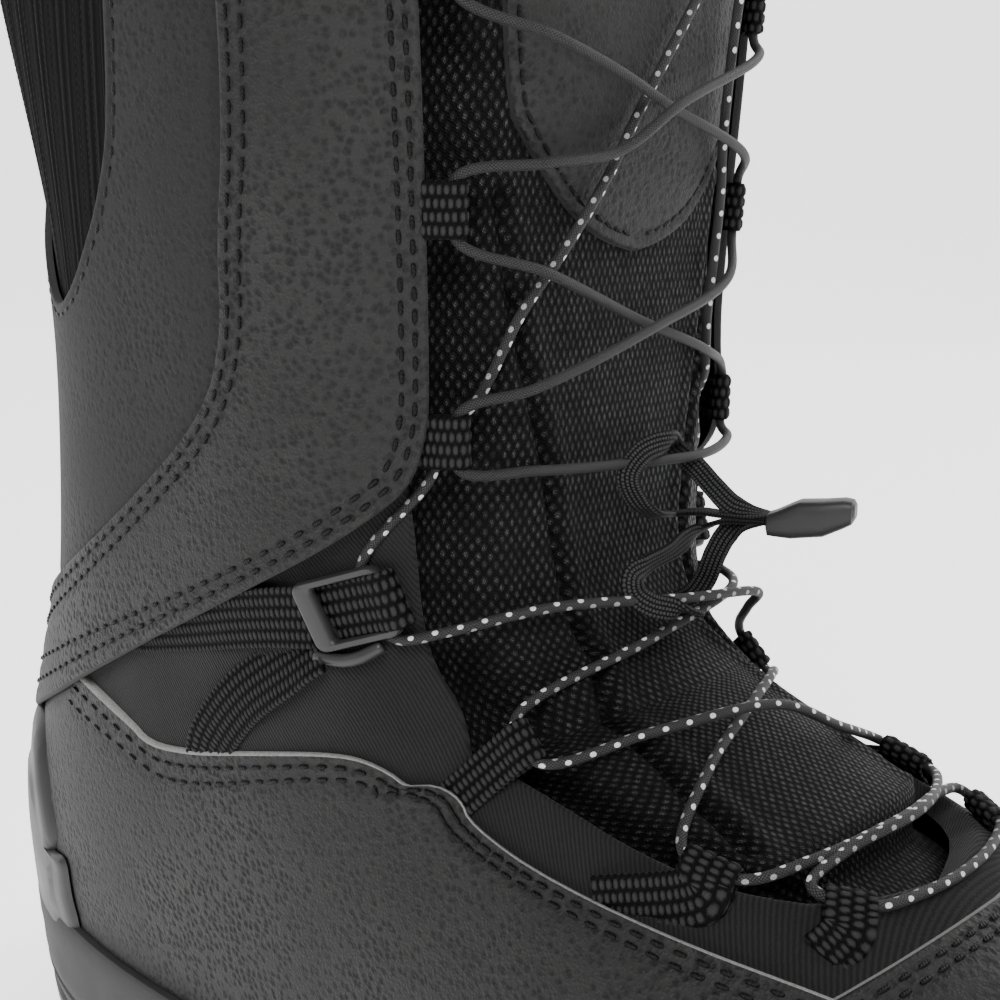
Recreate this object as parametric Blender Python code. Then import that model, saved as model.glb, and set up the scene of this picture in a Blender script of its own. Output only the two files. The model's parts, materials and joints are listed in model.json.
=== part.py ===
"""Snowboard boot for the right foot: laced shell, removable liner and rubber sole.

Metres, +Z up. +X points to the toe, -Y is the outer (lateral) side of the foot, and
the origin lies on the floor under the middle of the boot. Every layer of the upper is
a level of one smooth body, boot_field, and a place on a layer is given by two
numbers: s runs round the boot, from 0 at the front to -1 (lateral) or +1 (medial) at
the back or the sole, and v runs down it, from 0 at the collar to 12 at the toe tip.
"""

from math import cos, pi, radians, sin

import bmesh
import bpy
import numpy as np
from mathutils import Matrix, Vector
from mathutils.geometry import delaunay_2d_cdt

# ---------------------------------------------------------------- driving dimensions
FEATHER_Z = 0.030  # where the upper meets the sole
TOE_X = 0.150  # front of the last at the feather line
LAST_X = 0.003  # where the last's own zero lies, so that the boot is centred
OUTSOLE_H = 0.0100
GROOVE_W = 0.006
GROOVE_D = 0.004
MIDSOLE_TOP = FEATHER_Z - 0.0009
BOARD_H = 0.0017
COUNTER_Z = 0.042  # bottom edge of the heel counter
LINER_Z = 0.0325  # underside of the liner's sole
LINER_FLOOR_Z = 0.0368  # inside of the liner's sole
FOOTBED_H = 0.0042
GAP = 0.0003

# levels of the layers, outward from the reference surface
LEATHER = (-0.0010, 0.0008)
STRAP = (-0.0018, -0.0004)
HEEL_RUBBER = (-0.0006, 0.0030)
SOFTSHELL = (-0.0044, -0.0030)
COUNTER = (-0.0082, -0.0066)
PATCH = (-0.0003, 0.0008)
LINER = (-0.0146, -0.0102)
TONGUE_TOP = -0.0008  # crown of the tongue
TONGUE_EDGE = -0.0062  # where it dives under the shell
TONGUE_UNDER = -0.0078
TONGUE_DIVE = (7.3, 7.8)  # v where its toe end goes under the shell

COLLAR_V = 0.35  # top of the shell
LACE_R = 0.00085
LOOP_WALL = 0.0010
LOOP_HOLE = (0.0020, 0.0016)  # half sizes of the hole in a lace loop
LOOP_TRIM = 0.0011  # how far the lace runs straight past each end of a loop
LOOP_INSET = 0.024  # from the throat edge to the middle of a loop, in s

FLEX_AXIS = (-0.042, 0.0, 0.090)  # ankle axis, along Y
TAB_SURFACE = (0.05, 3.50)  # where the pull tab stands on the tongue
TAB_HEADING = radians(21.5)
TAB_AXIS = (0.0080, 0.0010)  # swing axis, in front of and above that place
LOCK_PLACE = (0.300, 0.60)
LOCK_PIVOT = (0.0020, 0.0067)  # along the lock, and out from its seat

COLORS = {
    "leather": (0.040, 0.040, 0.042, 0.60, 0.0),
    "softshell": (0.014, 0.014, 0.016, 0.80, 0.0),
    "mesh": (0.012, 0.012, 0.013, 0.85, 0.0),
    "webbing": (0.016, 0.016, 0.017, 0.75, 0.0),
    "rubber": (0.022, 0.022, 0.024, 0.55, 0.0),
    "foam": (0.030, 0.030, 0.032, 0.90, 0.0),
    "board": (0.300, 0.270, 0.220, 0.80, 0.0),
    "plastic": (0.060, 0.060, 0.064, 0.45, 0.0),
    "steel": (0.450, 0.450, 0.460, 0.35, 1.0),
    "lace_plain": (0.060, 0.060, 0.064, 0.70, 0.0),
    "lace_fleck": (0.150, 0.150, 0.155, 0.70, 0.0),
}


# ---------------------------------------------------------------- the boot's form
def cubic_through(knots):
    """Natural cubic spline through (t, value) knots, held constant past its ends."""
    t, y = (np.array(column, float) for column in zip(*knots, strict=True))
    h = np.diff(t)
    system, right = np.eye(len(t)), np.zeros(len(t))
    for i in range(1, len(t) - 1):
        system[i, i - 1 : i + 2] = h[i - 1], 2 * (h[i - 1] + h[i]), h[i]
        right[i] = 6 * ((y[i + 1] - y[i]) / h[i] - (y[i] - y[i - 1]) / h[i - 1])
    bend = np.linalg.solve(system, right)

    def value(at):
        at = np.clip(np.asarray(at, float), t[0], t[-1])
        i = np.clip(np.searchsorted(t, at) - 1, 0, len(t) - 2)
        a = (t[i + 1] - at) / h[i]
        b = 1 - a
        curve = ((a**3 - a) * bend[i] + (b**3 - b) * bend[i + 1]) * h[i] ** 2 / 6
        return a * y[i] + b * y[i + 1] + curve

    return value


# the shaft, by height: back line, front line and half width
SHAFT_BACK = cubic_through(
    [(0.0, -0.1510), (0.030, -0.1530), (0.055, -0.1510), (0.080, -0.1425), (0.105, -0.1325)]
    + [(0.140, -0.1230), (0.170, -0.1200), (0.205, -0.1260), (0.235, -0.1340), (0.300, -0.1430)]
)
SHAFT_FRONT = cubic_through(
    [(0.0, 0.035), (0.030, 0.030), (0.080, 0.020), (0.110, 0.012), (0.140, 0.010)]
    + [(0.170, 0.010), (0.205, 0.012), (0.245, 0.015), (0.320, 0.022)]
)
SHAFT_HALF = cubic_through(
    [(0.0, 0.044), (0.030, 0.0450), (0.055, 0.0475), (0.080, 0.0490), (0.105, 0.0500)]
    + [(0.140, 0.0525), (0.170, 0.0545), (0.205, 0.0580), (0.250, 0.0610), (0.320, 0.063)]
)
# the foot, by length: half width, centre line and height of the ridge
FOOT_HALF = cubic_through(
    [(-0.150, 0.036), (-0.110, 0.038), (-0.060, 0.0400), (-0.010, 0.0455), (0.040, 0.0530)]
    + [(0.070, 0.0560), (0.100, 0.0550), (0.130, 0.050), (TOE_X, 0.045)]
)
FOOT_MIDDLE = cubic_through(
    [(-0.150, 0.0), (-0.060, 0.0), (0.0, -0.001), (0.060, 0.0), (0.110, 0.005), (TOE_X, 0.012)]
)
FOOT_RIDGE = cubic_through(
    [(-0.150, 0.122), (-0.05, 0.120), (0.0, 0.1150), (0.022, 0.1095), (0.036, 0.1030)]
    + [(0.052, 0.0955), (0.070, 0.0875), (0.092, 0.0790), (0.115, 0.0718), (0.135, 0.066)]
    + [(TOE_X, 0.063)]
)
TOE_START, HEEL_START, HEEL_ROUND = 0.072, -0.060, 0.060
SHAFT_SCALE, FOOT_SCALE, BLEND = 0.055, 0.050, 0.013


def boot_field(p):
    """About the distance outside the boot's reference surface, negative inside."""
    x, y, z = p[..., 0] - LAST_X, p[..., 1], p[..., 2]
    back, front, half = SHAFT_BACK(z), SHAFT_FRONT(z), SHAFT_HALF(z)
    along = (2 * x - back - front) / (front - back)
    power = 2.5 + 0.35 * np.tanh(along * 2)
    ring = (np.abs(along) ** power + np.abs(y / half) ** power) ** (1 / power)
    shaft = (ring - 1) * SHAFT_SCALE
    toe = np.clip((x - TOE_START) / (TOE_X - TOE_START), 0, None)
    heel = np.clip((HEEL_START - x) / HEEL_ROUND, 0, None)
    plan = np.abs((y - FOOT_MIDDLE(x)) / FOOT_HALF(x)) ** 2.3 + (toe + heel) ** 2.4
    rise = np.clip(z - FEATHER_Z, 0, None) / (FOOT_RIDGE(x) - FEATHER_Z)
    foot = ((plan + rise**2) ** (1 / 2.15) - 1) * FOOT_SCALE
    mix = np.clip(0.5 + 0.5 * (shaft - foot) / BLEND, 0, 1)
    return shaft * (1 - mix) + foot * mix - BLEND * mix * (1 - mix)


# the spine that the surface is measured from, one knot for each whole v
SPINE_X = [-0.060, -0.059, -0.057, -0.056, -0.056, -0.050, -0.036]
SPINE_X += [-0.008, 0.030, 0.070, 0.105, 0.130, 0.153]
SPINE_Z = [0.272, 0.225, 0.180, 0.142, 0.112, 0.088, 0.070]
SPINE_Z += [0.060, 0.054, 0.050, 0.046, 0.042, 0.0345]
FRONT_ANGLE = [10, 6, 2, 2, 6, 18, 26, 31, 38, 50, 61, 63, 40]
BACK_ANGLE = [190, 186, 182, 183, 188, 197, 207, 235, 262, 270, 270, 270, 270]
spine_x, spine_z, front_angle, back_angle = (
    cubic_through(list(enumerate(row))) for row in (SPINE_X, SPINE_Z, FRONT_ANGLE, BACK_ANGLE)
)
LAST_V = len(SPINE_X) - 1
TOE_V = 8  # from here on, v is stretched so that every level ends at its own toe tip
REACH = 0.25  # longer than any ray from the spine to the surface


def spine(v):
    return np.stack([spine_x(v) + LAST_X, 0 * v, spine_z(v)], -1)


def ray(turn, v):
    """Direction from the spine; turn is 0 at the front, -1 or 1 at the back."""
    c, s = 1.3 * np.cos(pi * turn), np.sin(pi * turn)
    c, s = c / np.hypot(c, s), s / np.hypot(c, s)
    front, back = np.radians(front_angle(v)), np.radians(back_angle(v))
    fore = np.where(c > 0, np.cos(front), -np.cos(back))
    up = np.where(c > 0, np.sin(front), -np.sin(back))
    return np.stack([c * fore, s, c * up], -1)


def ray_hit(turn, v, level):
    """Where the ray leaves the body at a level, by halving."""
    turn, v, level = np.broadcast_arrays(*(np.asarray(a, float) for a in (turn, v, level)))
    start, way = spine(v), ray(turn, v)
    low, high = np.zeros(v.shape), np.full(v.shape, REACH)
    for _ in range(30):
        middle = (low + high) / 2
        inside = boot_field(start + way * middle[..., None]) < level
        low, high = np.where(inside, middle, low), np.where(inside, high, middle)
    return start + way * ((low + high) / 2)[..., None]


class Layer:
    """One level of the boot as a surface over (s, v), down to the height bottom."""

    def __init__(self, level, bottom=FEATHER_Z):
        self.level = level
        fine = np.linspace(TOE_V, LAST_V, 801)
        outside = np.flatnonzero(boot_field(spine(fine)) > level)
        self.tip = fine[outside[0]] if len(outside) else float(LAST_V)
        self.v = np.linspace(0, LAST_V, 241)
        self.lateral, self.medial = (self.lowest_turn(side, bottom) for side in (-1, 1))

    def lowest_turn(self, side, bottom):
        """How far round the surface stays above the bottom, for each v on one side."""
        low, high = np.full(self.v.shape, 0.5), np.ones(self.v.shape)
        for _ in range(26):
            middle = (low + high) / 2
            above = ray_hit(side * middle, self.v, self.level)[..., 2] > bottom
            low, high = np.where(above, middle, low), np.where(above, high, middle)
        return np.where(high > 0.99999, 1.0, low)

    def __call__(self, s, v, level=None):
        s, v = np.broadcast_arrays(np.asarray(s, float), np.asarray(v, float))
        s = np.where(s < -1 - 1e-6, s + 2, s)
        toe = TOE_V + (v - TOE_V) / (LAST_V - TOE_V) * (self.tip - TOE_V)
        v = np.where(v <= TOE_V, v, toe)
        lateral, medial = (np.interp(v, self.v, turn) for turn in (self.lateral, self.medial))
        turn = s * np.where(s < 0, lateral, medial)
        return ray_hit(turn, v, self.level if level is None else level)


SKIN = Layer(0.0)
THROAT = [(0.0, 0.235), (3.9, 0.235), (5.24, 0.211), (6.29, 0.262), (6.86, 0.297)]
THROAT += [(7.4, 0.310), (7.9, 0.250), (8.12, 0.0)]


def throat(v):
    """Half width of the lacing opening, in s."""
    return np.interp(v, *zip(*THROAT, strict=True))


def outward(point):
    """Unit normal of the boot's surface near a point."""
    steps = 1e-5 * np.eye(3)
    slope = boot_field(np.array(point) + steps) - boot_field(np.array(point) - steps)
    return Vector(slope).normalized()


def place(s, v, level=0.0):
    return Vector(SKIN(s, v, level))


# ---------------------------------------------------------------- making objects
def clear_scene():
    for thing in list(bpy.data.objects):
        bpy.data.objects.remove(thing, do_unlink=True)


def material(name):
    found = bpy.data.materials.get(name)
    if found:
        return found
    made = bpy.data.materials.new(name)
    made.use_nodes = True
    r, g, b, rough, metal = COLORS[name]
    shader = made.node_tree.nodes["Principled BSDF"]
    shader.inputs["Base Color"].default_value = (r, g, b, 1.0)
    shader.inputs["Roughness"].default_value = rough
    shader.inputs["Metallic"].default_value = metal
    made.diffuse_color = (r, g, b, 1.0)
    return made


def link(name, data, finish):
    made = bpy.data.objects.new(name, data)
    data.materials.append(material(finish))
    bpy.context.scene.collection.objects.link(made)
    return made


def solid(name, bm, finish, smooth=True):
    """Object from a closed bmesh, with its faces turned outward."""
    bmesh.ops.recalc_face_normals(bm, faces=bm.faces)
    mesh = bpy.data.meshes.new(name)
    bm.to_mesh(mesh)
    bm.free()
    if smooth:
        mesh.shade_smooth()
        mesh.set_sharp_from_angle(angle=radians(40))
    return link(name, mesh, finish)


def hinge_parent(name, at):
    """Empty on a joint's axis, which carries the pieces that turn on it."""
    empty = bpy.data.objects.new(name, None)
    empty.location = at
    bpy.context.scene.collection.objects.link(empty)
    return empty


def carry(empty, pieces):
    for piece in pieces:
        piece.parent = empty
        piece.matrix_parent_inverse = Matrix.Translation(-empty.location)


def prism(name, rings, finish, smooth=True):
    """Closed solid lofted through rings of equal length."""
    bm = bmesh.new()
    rows = [[bm.verts.new(p) for p in ring] for ring in rings]
    for low, high in zip(rows, rows[1:], strict=False):
        for i in range(len(low)):
            j = (i + 1) % len(low)
            bm.faces.new((low[i], low[j], high[j], high[i]))
    bm.faces.new(list(reversed(rows[0])))
    bm.faces.new(rows[-1])
    return solid(name, bm, finish, smooth)


def hollow(name, outer, inner, finish):
    """Open tube between an outer and an inner pair of rings."""
    bm = bmesh.new()
    a, b, c, d = ([bm.verts.new(p) for p in ring] for ring in (*outer, *reversed(inner)))
    for low, high in ((a, b), (b, c), (c, d), (d, a)):
        for i in range(len(low)):
            j = (i + 1) % len(low)
            bm.faces.new((low[i], low[j], high[j], high[i]))
    return solid(name, bm, finish)


# ---------------------------------------------------------------- panels of the upper
FLAT_V = 0.036  # metres for one unit of v, roughly
FLAT_S = [(0.0, 0.20), (4.5, 0.20), (6.0, 0.14), (8.0, 0.11), (LAST_V, 0.08)]
PANEL_CELL = 0.0135


def flatten(s, v):
    """Place in metres on a flat pattern of the upper."""
    return Vector((s * float(np.interp(v, *zip(*FLAT_S, strict=True))), v * FLAT_V))


def unflatten(p):
    v = p.y / FLAT_V
    return p.x / float(np.interp(v, *zip(*FLAT_S, strict=True))), v


def even_outline(corners, cell):
    """Flat pattern of an outline, with points added so that no edge outgrows a cell."""
    points = []
    for a, b in zip(corners, corners[1:] + corners[:1], strict=True):
        count = max(1, round((flatten(*b) - flatten(*a)).length / cell))
        points += [flatten(*Vector(a).lerp(Vector(b), i / count)) for i in range(count)]
    return points


def grid_inside(outline, cell):
    """Points inside an outline, clear of its edge, on a lattice that all panels share."""
    edge = np.array([p[:] for p in outline])
    ends = np.roll(edge, -1, axis=0)
    side = ends - edge
    low, high = edge.min(0), edge.max(0)
    rise = cell * 0.87
    inside = []
    for row in range(int(low[1] / rise), int(high[1] / rise) + 1):
        y = row * rise
        crosses = (edge[:, 1] > y) != (ends[:, 1] > y)
        slope = side[:, 0] / np.where(crosses, side[:, 1], 1)
        for column in range(int(low[0] / cell) - 1, int(high[0] / cell) + 1):
            x = (column + (row % 2) / 2) * cell
            odd = np.sum(crosses & (x < edge[:, 0] + slope * (y - edge[:, 1]))) % 2
            t = np.clip(((np.array([x, y]) - edge) * side).sum(1) / (side**2).sum(1), 0, 1)
            gap = np.linalg.norm(edge + side * t[:, None] - (x, y), axis=1).min()
            if odd and gap > cell * 0.5:
                inside.append(Vector((x, y)))
    return inside


def panel(name, outlines, inner, outer, finish, cell=PANEL_CELL):
    """Thick sheet over one or more (s, v) outlines; edges that meet are welded."""
    bm = bmesh.new()
    tag = bm.verts.layers.int.new("place")
    places = []
    for corners in outlines:
        edge = even_outline(corners, cell)
        points = edge + grid_inside(edge, cell)
        loop = [list(range(len(edge)))]
        found, _, triangles, *_ = delaunay_2d_cdt(points, [], loop, 1, 1e-7)
        where = [unflatten(p) for p in found]
        made = []
        for at, p in zip(where, outer(*zip(*where, strict=True)), strict=True):
            vert = bm.verts.new(p)
            vert[tag] = len(places)
            places.append(at)
            made.append(vert)
        for corner in triangles:
            bm.faces.new([made[i] for i in corner])
    loose = [v for v in bm.verts if not v.link_faces]
    bmesh.ops.delete(bm, geom=loose, context="VERTS")
    bmesh.ops.remove_doubles(bm, verts=bm.verts, dist=2e-5)
    under = inner(*zip(*places, strict=True))
    sheet, rim = list(bm.faces), [e for e in bm.edges if e.is_boundary]
    twin = {v: bm.verts.new(under[v[tag]]) for v in list(bm.verts)}
    for face in sheet:
        bm.faces.new([twin[v] for v in reversed(face.verts)])
    for e in rim:
        a, b = e.verts
        bm.faces.new((a, b, twin[b], twin[a]))
    return solid(name, bm, finish)


def both_sides(corners):
    """A lateral outline and its mirror image on the medial side."""
    return [corners, [(-s, v) for s, v in corners]]


def mirrored(corners):
    return [(-s, v) for s, v in corners]


def layer_panel(name, outlines, levels, finish, bottom=FEATHER_Z, cell=PANEL_CELL):
    inner, outer = (Layer(level, bottom) for level in levels)
    return panel(name, outlines, inner, outer, finish, cell)


# outlines on the lateral side, as (s, v)
CUFF = [(-0.235, COLLAR_V), (-0.368, COLLAR_V), (-0.368, 1.61), (-0.387, 2.07), (-0.390, 2.38)]
CUFF += [(-0.415, 2.73), (-0.492, 3.12), (-0.596, 3.53), (-0.72, 3.82), (-0.86, 4.02)]
CUFF += [(-0.996, 4.12), (-0.996, 4.62), (-0.86, 4.56), (-0.732, 4.44), (-0.647, 4.25)]
CUFF += [(-0.543, 3.92), (-0.446, 3.55), (-0.334, 3.10), (-0.262, 2.86), (-0.240, 2.74)]
NOTCH = [(-0.430, COLLAR_V), (-0.455, 0.9), (-0.484, 1.56), (-0.517, 1.86), (-0.556, 2.11)]
NOTCH += [(-0.60, 2.32), (-0.65, 2.36), (-0.69, 2.2), (-0.74, 1.9), (-0.79, 1.5)]
NOTCH += [(-0.84, 0.9), (-0.86, COLLAR_V)]
BACK_SEAM = [(-0.393, 2.07), (-0.396, 2.36), (-0.421, 2.67), (-0.498, 3.05), (-0.602, 3.45)]
BACK_SEAM += [(-0.72, 3.73), (-0.86, 3.93), (-1.0, 4.02)]
QUARTER = [(-0.650, 4.52), (-0.60, 4.74), (-0.566, 4.93), (-0.50, 5.00), (-0.414, 5.06)]
QUARTER += [(-0.34, 5.18), (-0.307, 5.33), (-0.285, 5.68), (-0.337, 6.20), (-0.392, 6.88)]
QUARTER += [(-0.415, 7.5), (-0.400, 8.22), (-1.0, 8.22), (-1.0, 6.18), (-0.87, 5.90)]
QUARTER += [(-0.79, 5.62), (-0.775, 5.30), (-0.80, 4.95), (-0.83, 4.72), (-0.732, 4.66)]
HEEL = [(-1.0, 4.85), (-0.85, 4.78), (-0.815, 4.97), (-0.79, 5.30), (-0.805, 5.62)]
HEEL += [(-0.885, 5.83), (-1.0, 6.10)]
STRAP_UPPER = [(-0.350, 3.68), (-0.385, 3.84), (-0.455, 4.12), (-0.500, 4.24), (-0.350, 4.10)]
STRAP_LOWER = [(-0.350, 4.18), (-0.377, 4.26), (-0.495, 4.86), (-0.420, 4.93), (-0.318, 4.22)]
BUCKLE = [(-0.338, 3.63), (-0.276, 3.50), (-0.253, 3.98), (-0.317, 4.13)]


def shrink(corners, amount):
    """The same outline drawn in towards its middle, in s only."""
    middle = sum(s for s, _ in corners) / len(corners)
    return [(s + amount * (1 if s < middle else -1), v) for s, v in corners]


def make_upper():
    softshell = [(-float(throat(v)), v) for v in (COLLAR_V, 3.9, 5.24, 6.29, 6.86, 7.4, 7.9)]
    softshell += [(0.0, 8.12), (0.0, LAST_V), (-1.0, LAST_V), (-1.0, COLLAR_V)]
    layer_panel("softshell", both_sides(softshell), SOFTSHELL, "softshell")
    toe_cap = [(0.0, 8.27), (0.0, LAST_V), (-1.0, LAST_V), (-1.0, 8.27)]
    layer_panel("toe_cap", both_sides(toe_cap), LEATHER, "leather")
    layer_panel("quarter_lateral", [QUARTER], LEATHER, "leather")
    layer_panel("quarter_medial", [mirrored(QUARTER)], LEATHER, "leather")
    layer_panel("heel_cup", both_sides(HEEL), HEEL_RUBBER, "rubber", cell=0.009)
    counter = [(-1.0, 4.5), (-0.75, 4.6), (-0.60, 5.1), (-0.62, 5.8), (-0.80, 6.4), (-1.0, 6.8)]
    layer_panel("heel_counter", both_sides(counter), COUNTER, "plastic", COUNTER_Z)
    layer_panel("cuff_panel_lateral", [CUFF], LEATHER, "leather")
    layer_panel("cuff_panel_medial", [mirrored(CUFF)], LEATHER, "leather")
    half = [(-0.374, COLLAR_V)] + NOTCH + [(-1.0, COLLAR_V)]
    half += list(reversed(BACK_SEAM)) + [(-0.374, 1.61)]
    layer_panel("cuff_back_panel", both_sides(half), LEATHER, "leather")
    gusset = shrink(NOTCH, 0.008)
    gusset = [(s, v - 0.05 if v > 2.1 else v) for s, v in gusset]
    layer_panel("achilles_gusset_lateral", [gusset], LEATHER, "softshell")
    layer_panel("achilles_gusset_medial", [mirrored(gusset)], LEATHER, "softshell")


def tongue_level(s, v):
    """Level of the tongue's face: it bulges in the throat and dives under its edges."""
    side = np.clip((throat(v) - np.abs(s) - 0.015) / 0.06, 0, 1)
    t = side * np.clip((TONGUE_DIVE[1] - v) / (TONGUE_DIVE[1] - TONGUE_DIVE[0]), 0, 1)
    return TONGUE_EDGE + (TONGUE_TOP - TONGUE_EDGE) * t * t * (3 - 2 * t)


def make_tongue():
    half = [(0.0, 0.0), (-0.20, 0.10), (-0.265, 0.40), (-0.270, 4.0), (-0.250, 5.24)]
    half += [(-0.300, 6.29), (-0.335, 6.86), (-0.345, 7.5), (-0.29, 8.0), (-0.12, 8.4), (0.0, 8.45)]
    outer = lambda s, v: SKIN(s, v, tongue_level(np.array(s), np.array(v)))
    inner = lambda s, v: SKIN(s, v, TONGUE_UNDER)
    panel("tongue", both_sides(half), inner, outer, "mesh", cell=0.011)
    patch = [(0.0, 0.45), (-0.168, 0.45), (-0.171, 1.60), (-0.142, 1.78), (-0.099, 1.97)]
    patch += [(-0.05, 2.07), (0.0, 2.11)]
    layer_panel("tongue_patch", both_sides(patch), PATCH, "leather", cell=0.009)


def make_ankle_harness():
    for side, turn in (("lateral", lambda c: c), ("medial", mirrored)):
        layer_panel(f"ankle_strap_upper_{side}", [turn(STRAP_UPPER)], STRAP, "webbing")
        layer_panel(f"ankle_strap_lower_{side}", [turn(STRAP_LOWER)], STRAP, "webbing")
        make_buckle(side, turn(BUCKLE))


# ---------------------------------------------------------------- buckle and loops
BUCKLE_T = 0.0018
BUCKLE_BARS = (0.0034, 0.0015, 0.0016, 0.0015)  # rear, top, front and bottom bar


def make_buckle(side, corners):
    """Flat four-sided ring that joins the two straps to the webbing round the lace."""
    points = [place(s, v) for s, v in corners]
    middle = sum(points, Vector()) / 4
    out = outward(middle)
    flat = [p - out * (p - middle).dot(out) + out * 0.0006 for p in points]
    rear, top, front, bottom = BUCKLE_BARS
    a, b, c, d = flat
    across_top, across_bottom = (b - a).normalized(), (c - d).normalized()
    down_rear, down_front = (d - a).normalized(), (c - b).normalized()
    window = [a + across_top * rear + down_rear * top, b - across_top * front + down_front * top]
    window += [c - across_bottom * front - down_front * bottom]
    window += [d + across_bottom * rear - down_rear * bottom]
    lift = out * BUCKLE_T
    outer = (flat, [p + lift for p in flat])
    inner = (window, [p + lift for p in window])
    hollow(f"ankle_buckle_{side}", outer, inner, "plastic")
    half = Vector((0.0004, 0.0004, 0.0004)).length
    centre = sum(window, Vector()) / 4
    inset = [p + (centre - p).normalized() * half for p in window]
    web = [[p + out * h for p in inset] for h in (-0.0002, 0.0010)]
    prism(f"ankle_lace_loop_{side}", web, "webbing", smooth=False)


def loop_frame(s, v_top, v_bottom):
    """Ends of a loop's hole, and its across and outward directions."""
    top, bottom = place(s[0], v_top, 0.0018), place(s[1], v_bottom, 0.0018)
    out = outward((top + bottom) / 2)
    along = (bottom - top).normalized()
    across = along.cross(out).normalized()
    return top, bottom, across, across.cross(along)


def make_loop(name, sign, v_top, v_bottom):
    """Webbing loop on the throat's edge, with the lace's hole along the edge."""
    s = [sign * (float(throat(v)) - LOOP_INSET) for v in (v_top, v_bottom)]
    top, bottom, across, out = loop_frame(s, v_top, v_bottom)

    def ring(end, grow):
        wide, tall = (half + grow for half in LOOP_HOLE)
        turns = [2 * pi * i / 10 for i in range(10)]
        return [end + across * wide * cos(t) + out * tall * sin(t) for t in turns]

    trim = (bottom - top).normalized() * LOOP_TRIM
    top, bottom = top + trim, bottom - trim
    outer = (ring(top, LOOP_WALL), ring(bottom, LOOP_WALL))
    inner = (ring(top, 0.0), ring(bottom, 0.0))
    hollow(name, outer, inner, "webbing")


CUFF_LOOPS = {"1": (1.10, 1.32), "2": (1.85, 2.05), "3": (2.72, 2.98)}
FOOT_LOOPS = {"1": (5.28, 5.80), "2": (6.98, 7.32), "3": (7.66, 7.90)}


def make_loops():
    for side, sign in (("lateral", -1), ("medial", 1)):
        for number, (top, bottom) in CUFF_LOOPS.items():
            make_loop(f"cuff_loop_{number}_{side}", sign, top, bottom)
        for number, (top, bottom) in FOOT_LOOPS.items():
            make_loop(f"foot_loop_{number}_{side}", sign, top, bottom)


# ---------------------------------------------------------------- lace locks
class LockFrame:
    """Seat of a lace lock on the cuff: along runs down the boot, out is its normal."""

    def __init__(self, sign):
        s, v = LOCK_PLACE
        self.seat = place(sign * s, v, LEATHER[1])
        self.out = outward(self.seat)
        below = place(sign * s, v + 0.1, LEATHER[1])
        self.along = (below - self.seat - self.out * (below - self.seat).dot(self.out)).normalized()
        self.across = self.along.cross(self.out)

    def at(self, along, across, out):
        return self.seat + self.along * along + self.across * across + self.out * out

    def ring(self, profile, across):
        return [self.at(a, across, o) for a, o in profile]


LOCK_HALF = 0.011
LOCK_BASE = (0.0006, 0.0022)  # bottom and top of the base plate
LOCK_WALL = (0.0045, 0.0063)  # inner and outer face of a side wall
LOCK_TOP = 0.0092
CAM_HALF = 0.0041
PIN_R, BORE_R, CAM_R = 0.0010, 0.0013, 0.0022


def cylinder(name, frame, radius, half, finish, sides=16):
    turns = [2 * pi * i / sides for i in range(sides)]
    a, o = LOCK_PIVOT
    profile = [(a + radius * cos(t), o + radius * sin(t)) for t in turns]
    return prism(name, [frame.ring(profile, -half), frame.ring(profile, half)], finish)


def bore(piece, frame, name):
    """Cut the pivot's bore through a piece."""
    cutter = cylinder(name, frame, BORE_R, 0.010, "steel")
    cutter.hide_render = True
    cutter.display_type = "WIRE"
    cut = piece.modifiers.new("bore", "BOOLEAN")
    cut.object = cutter


def make_lock(side, sign):
    frame = LockFrame(sign)
    low, high = LOCK_BASE
    inner, wide = LOCK_WALL
    section = [(-wide, low), (wide, low), (wide, LOCK_TOP), (inner, LOCK_TOP), (inner, high)]
    section += [(-inner, high), (-inner, LOCK_TOP), (-wide, LOCK_TOP)]
    rings = [[frame.at(a, c, o) for c, o in section] for a in (-LOCK_HALF, LOCK_HALF)]
    base = prism(f"lace_lock_base_{side}", rings, "plastic", smooth=False)
    bore(base, frame, f"base_bore_{side}")
    a, o = LOCK_PIVOT
    turns = [radians(d) for d in range(-135, 91, 25)]
    profile = [(a + CAM_R * cos(t), o + CAM_R * sin(t)) for t in turns]
    profile += [(a - 0.012, o + CAM_R), (a - 0.0125, o + CAM_R - 0.0016)]
    rings = [frame.ring(profile, -CAM_HALF), frame.ring(profile, CAM_HALF)]
    cam = prism(f"lace_lock_cam_{side}", rings, "plastic", smooth=False)
    bore(cam, frame, f"cam_bore_{side}")
    cylinder(f"lace_lock_pin_{side}", frame, PIN_R, wide, "steel", sides=12)
    hinge = hinge_parent(f"lock_hinge_{side}", frame.at(a, 0.0, o))
    carry(hinge, [cam])
    make_handle(side, frame)
    return frame


HANDLE = (0.0165, 0.0052, 0.0038)  # half length across, half height, half thickness
HANDLE_AT = -0.0285
LACE_OUT = 0.0034  # height of the laces in the lock
LACE_LANE = 0.0018  # and their distance from its middle


def make_handle(side, frame):
    """Moulded grip that the two ends of a lace run into."""
    wide, tall, thick = HANDLE
    turns = [2 * pi * i / 16 for i in range(16)]
    power = 0.55

    def squash(value):
        return abs(value) ** power * (1 if value > 0 else -1)

    def ring(across, size):
        return [
            frame.at(
                HANDLE_AT + tall * size * squash(cos(t)),
                across,
                LACE_OUT + thick * size * squash(sin(t)),
            )
            for t in turns
        ]

    rings = [ring(-wide, 0.6), ring(-wide + 0.0025, 0.95), ring(-0.006, 0.9), ring(0.006, 0.9)]
    rings += [ring(wide - 0.0025, 0.95), ring(wide, 0.6)]
    prism(f"lace_handle_{side}", rings, "rubber")


# ---------------------------------------------------------------- laces
def loop_points(sign, span, down=True):
    """Top and bottom of the lace's run through a loop, as (s, v, level)."""
    ends = [(sign * (float(throat(v)) - LOOP_INSET), v, 0.0018) for v in span]
    return ends if down else list(reversed(ends))


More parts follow.
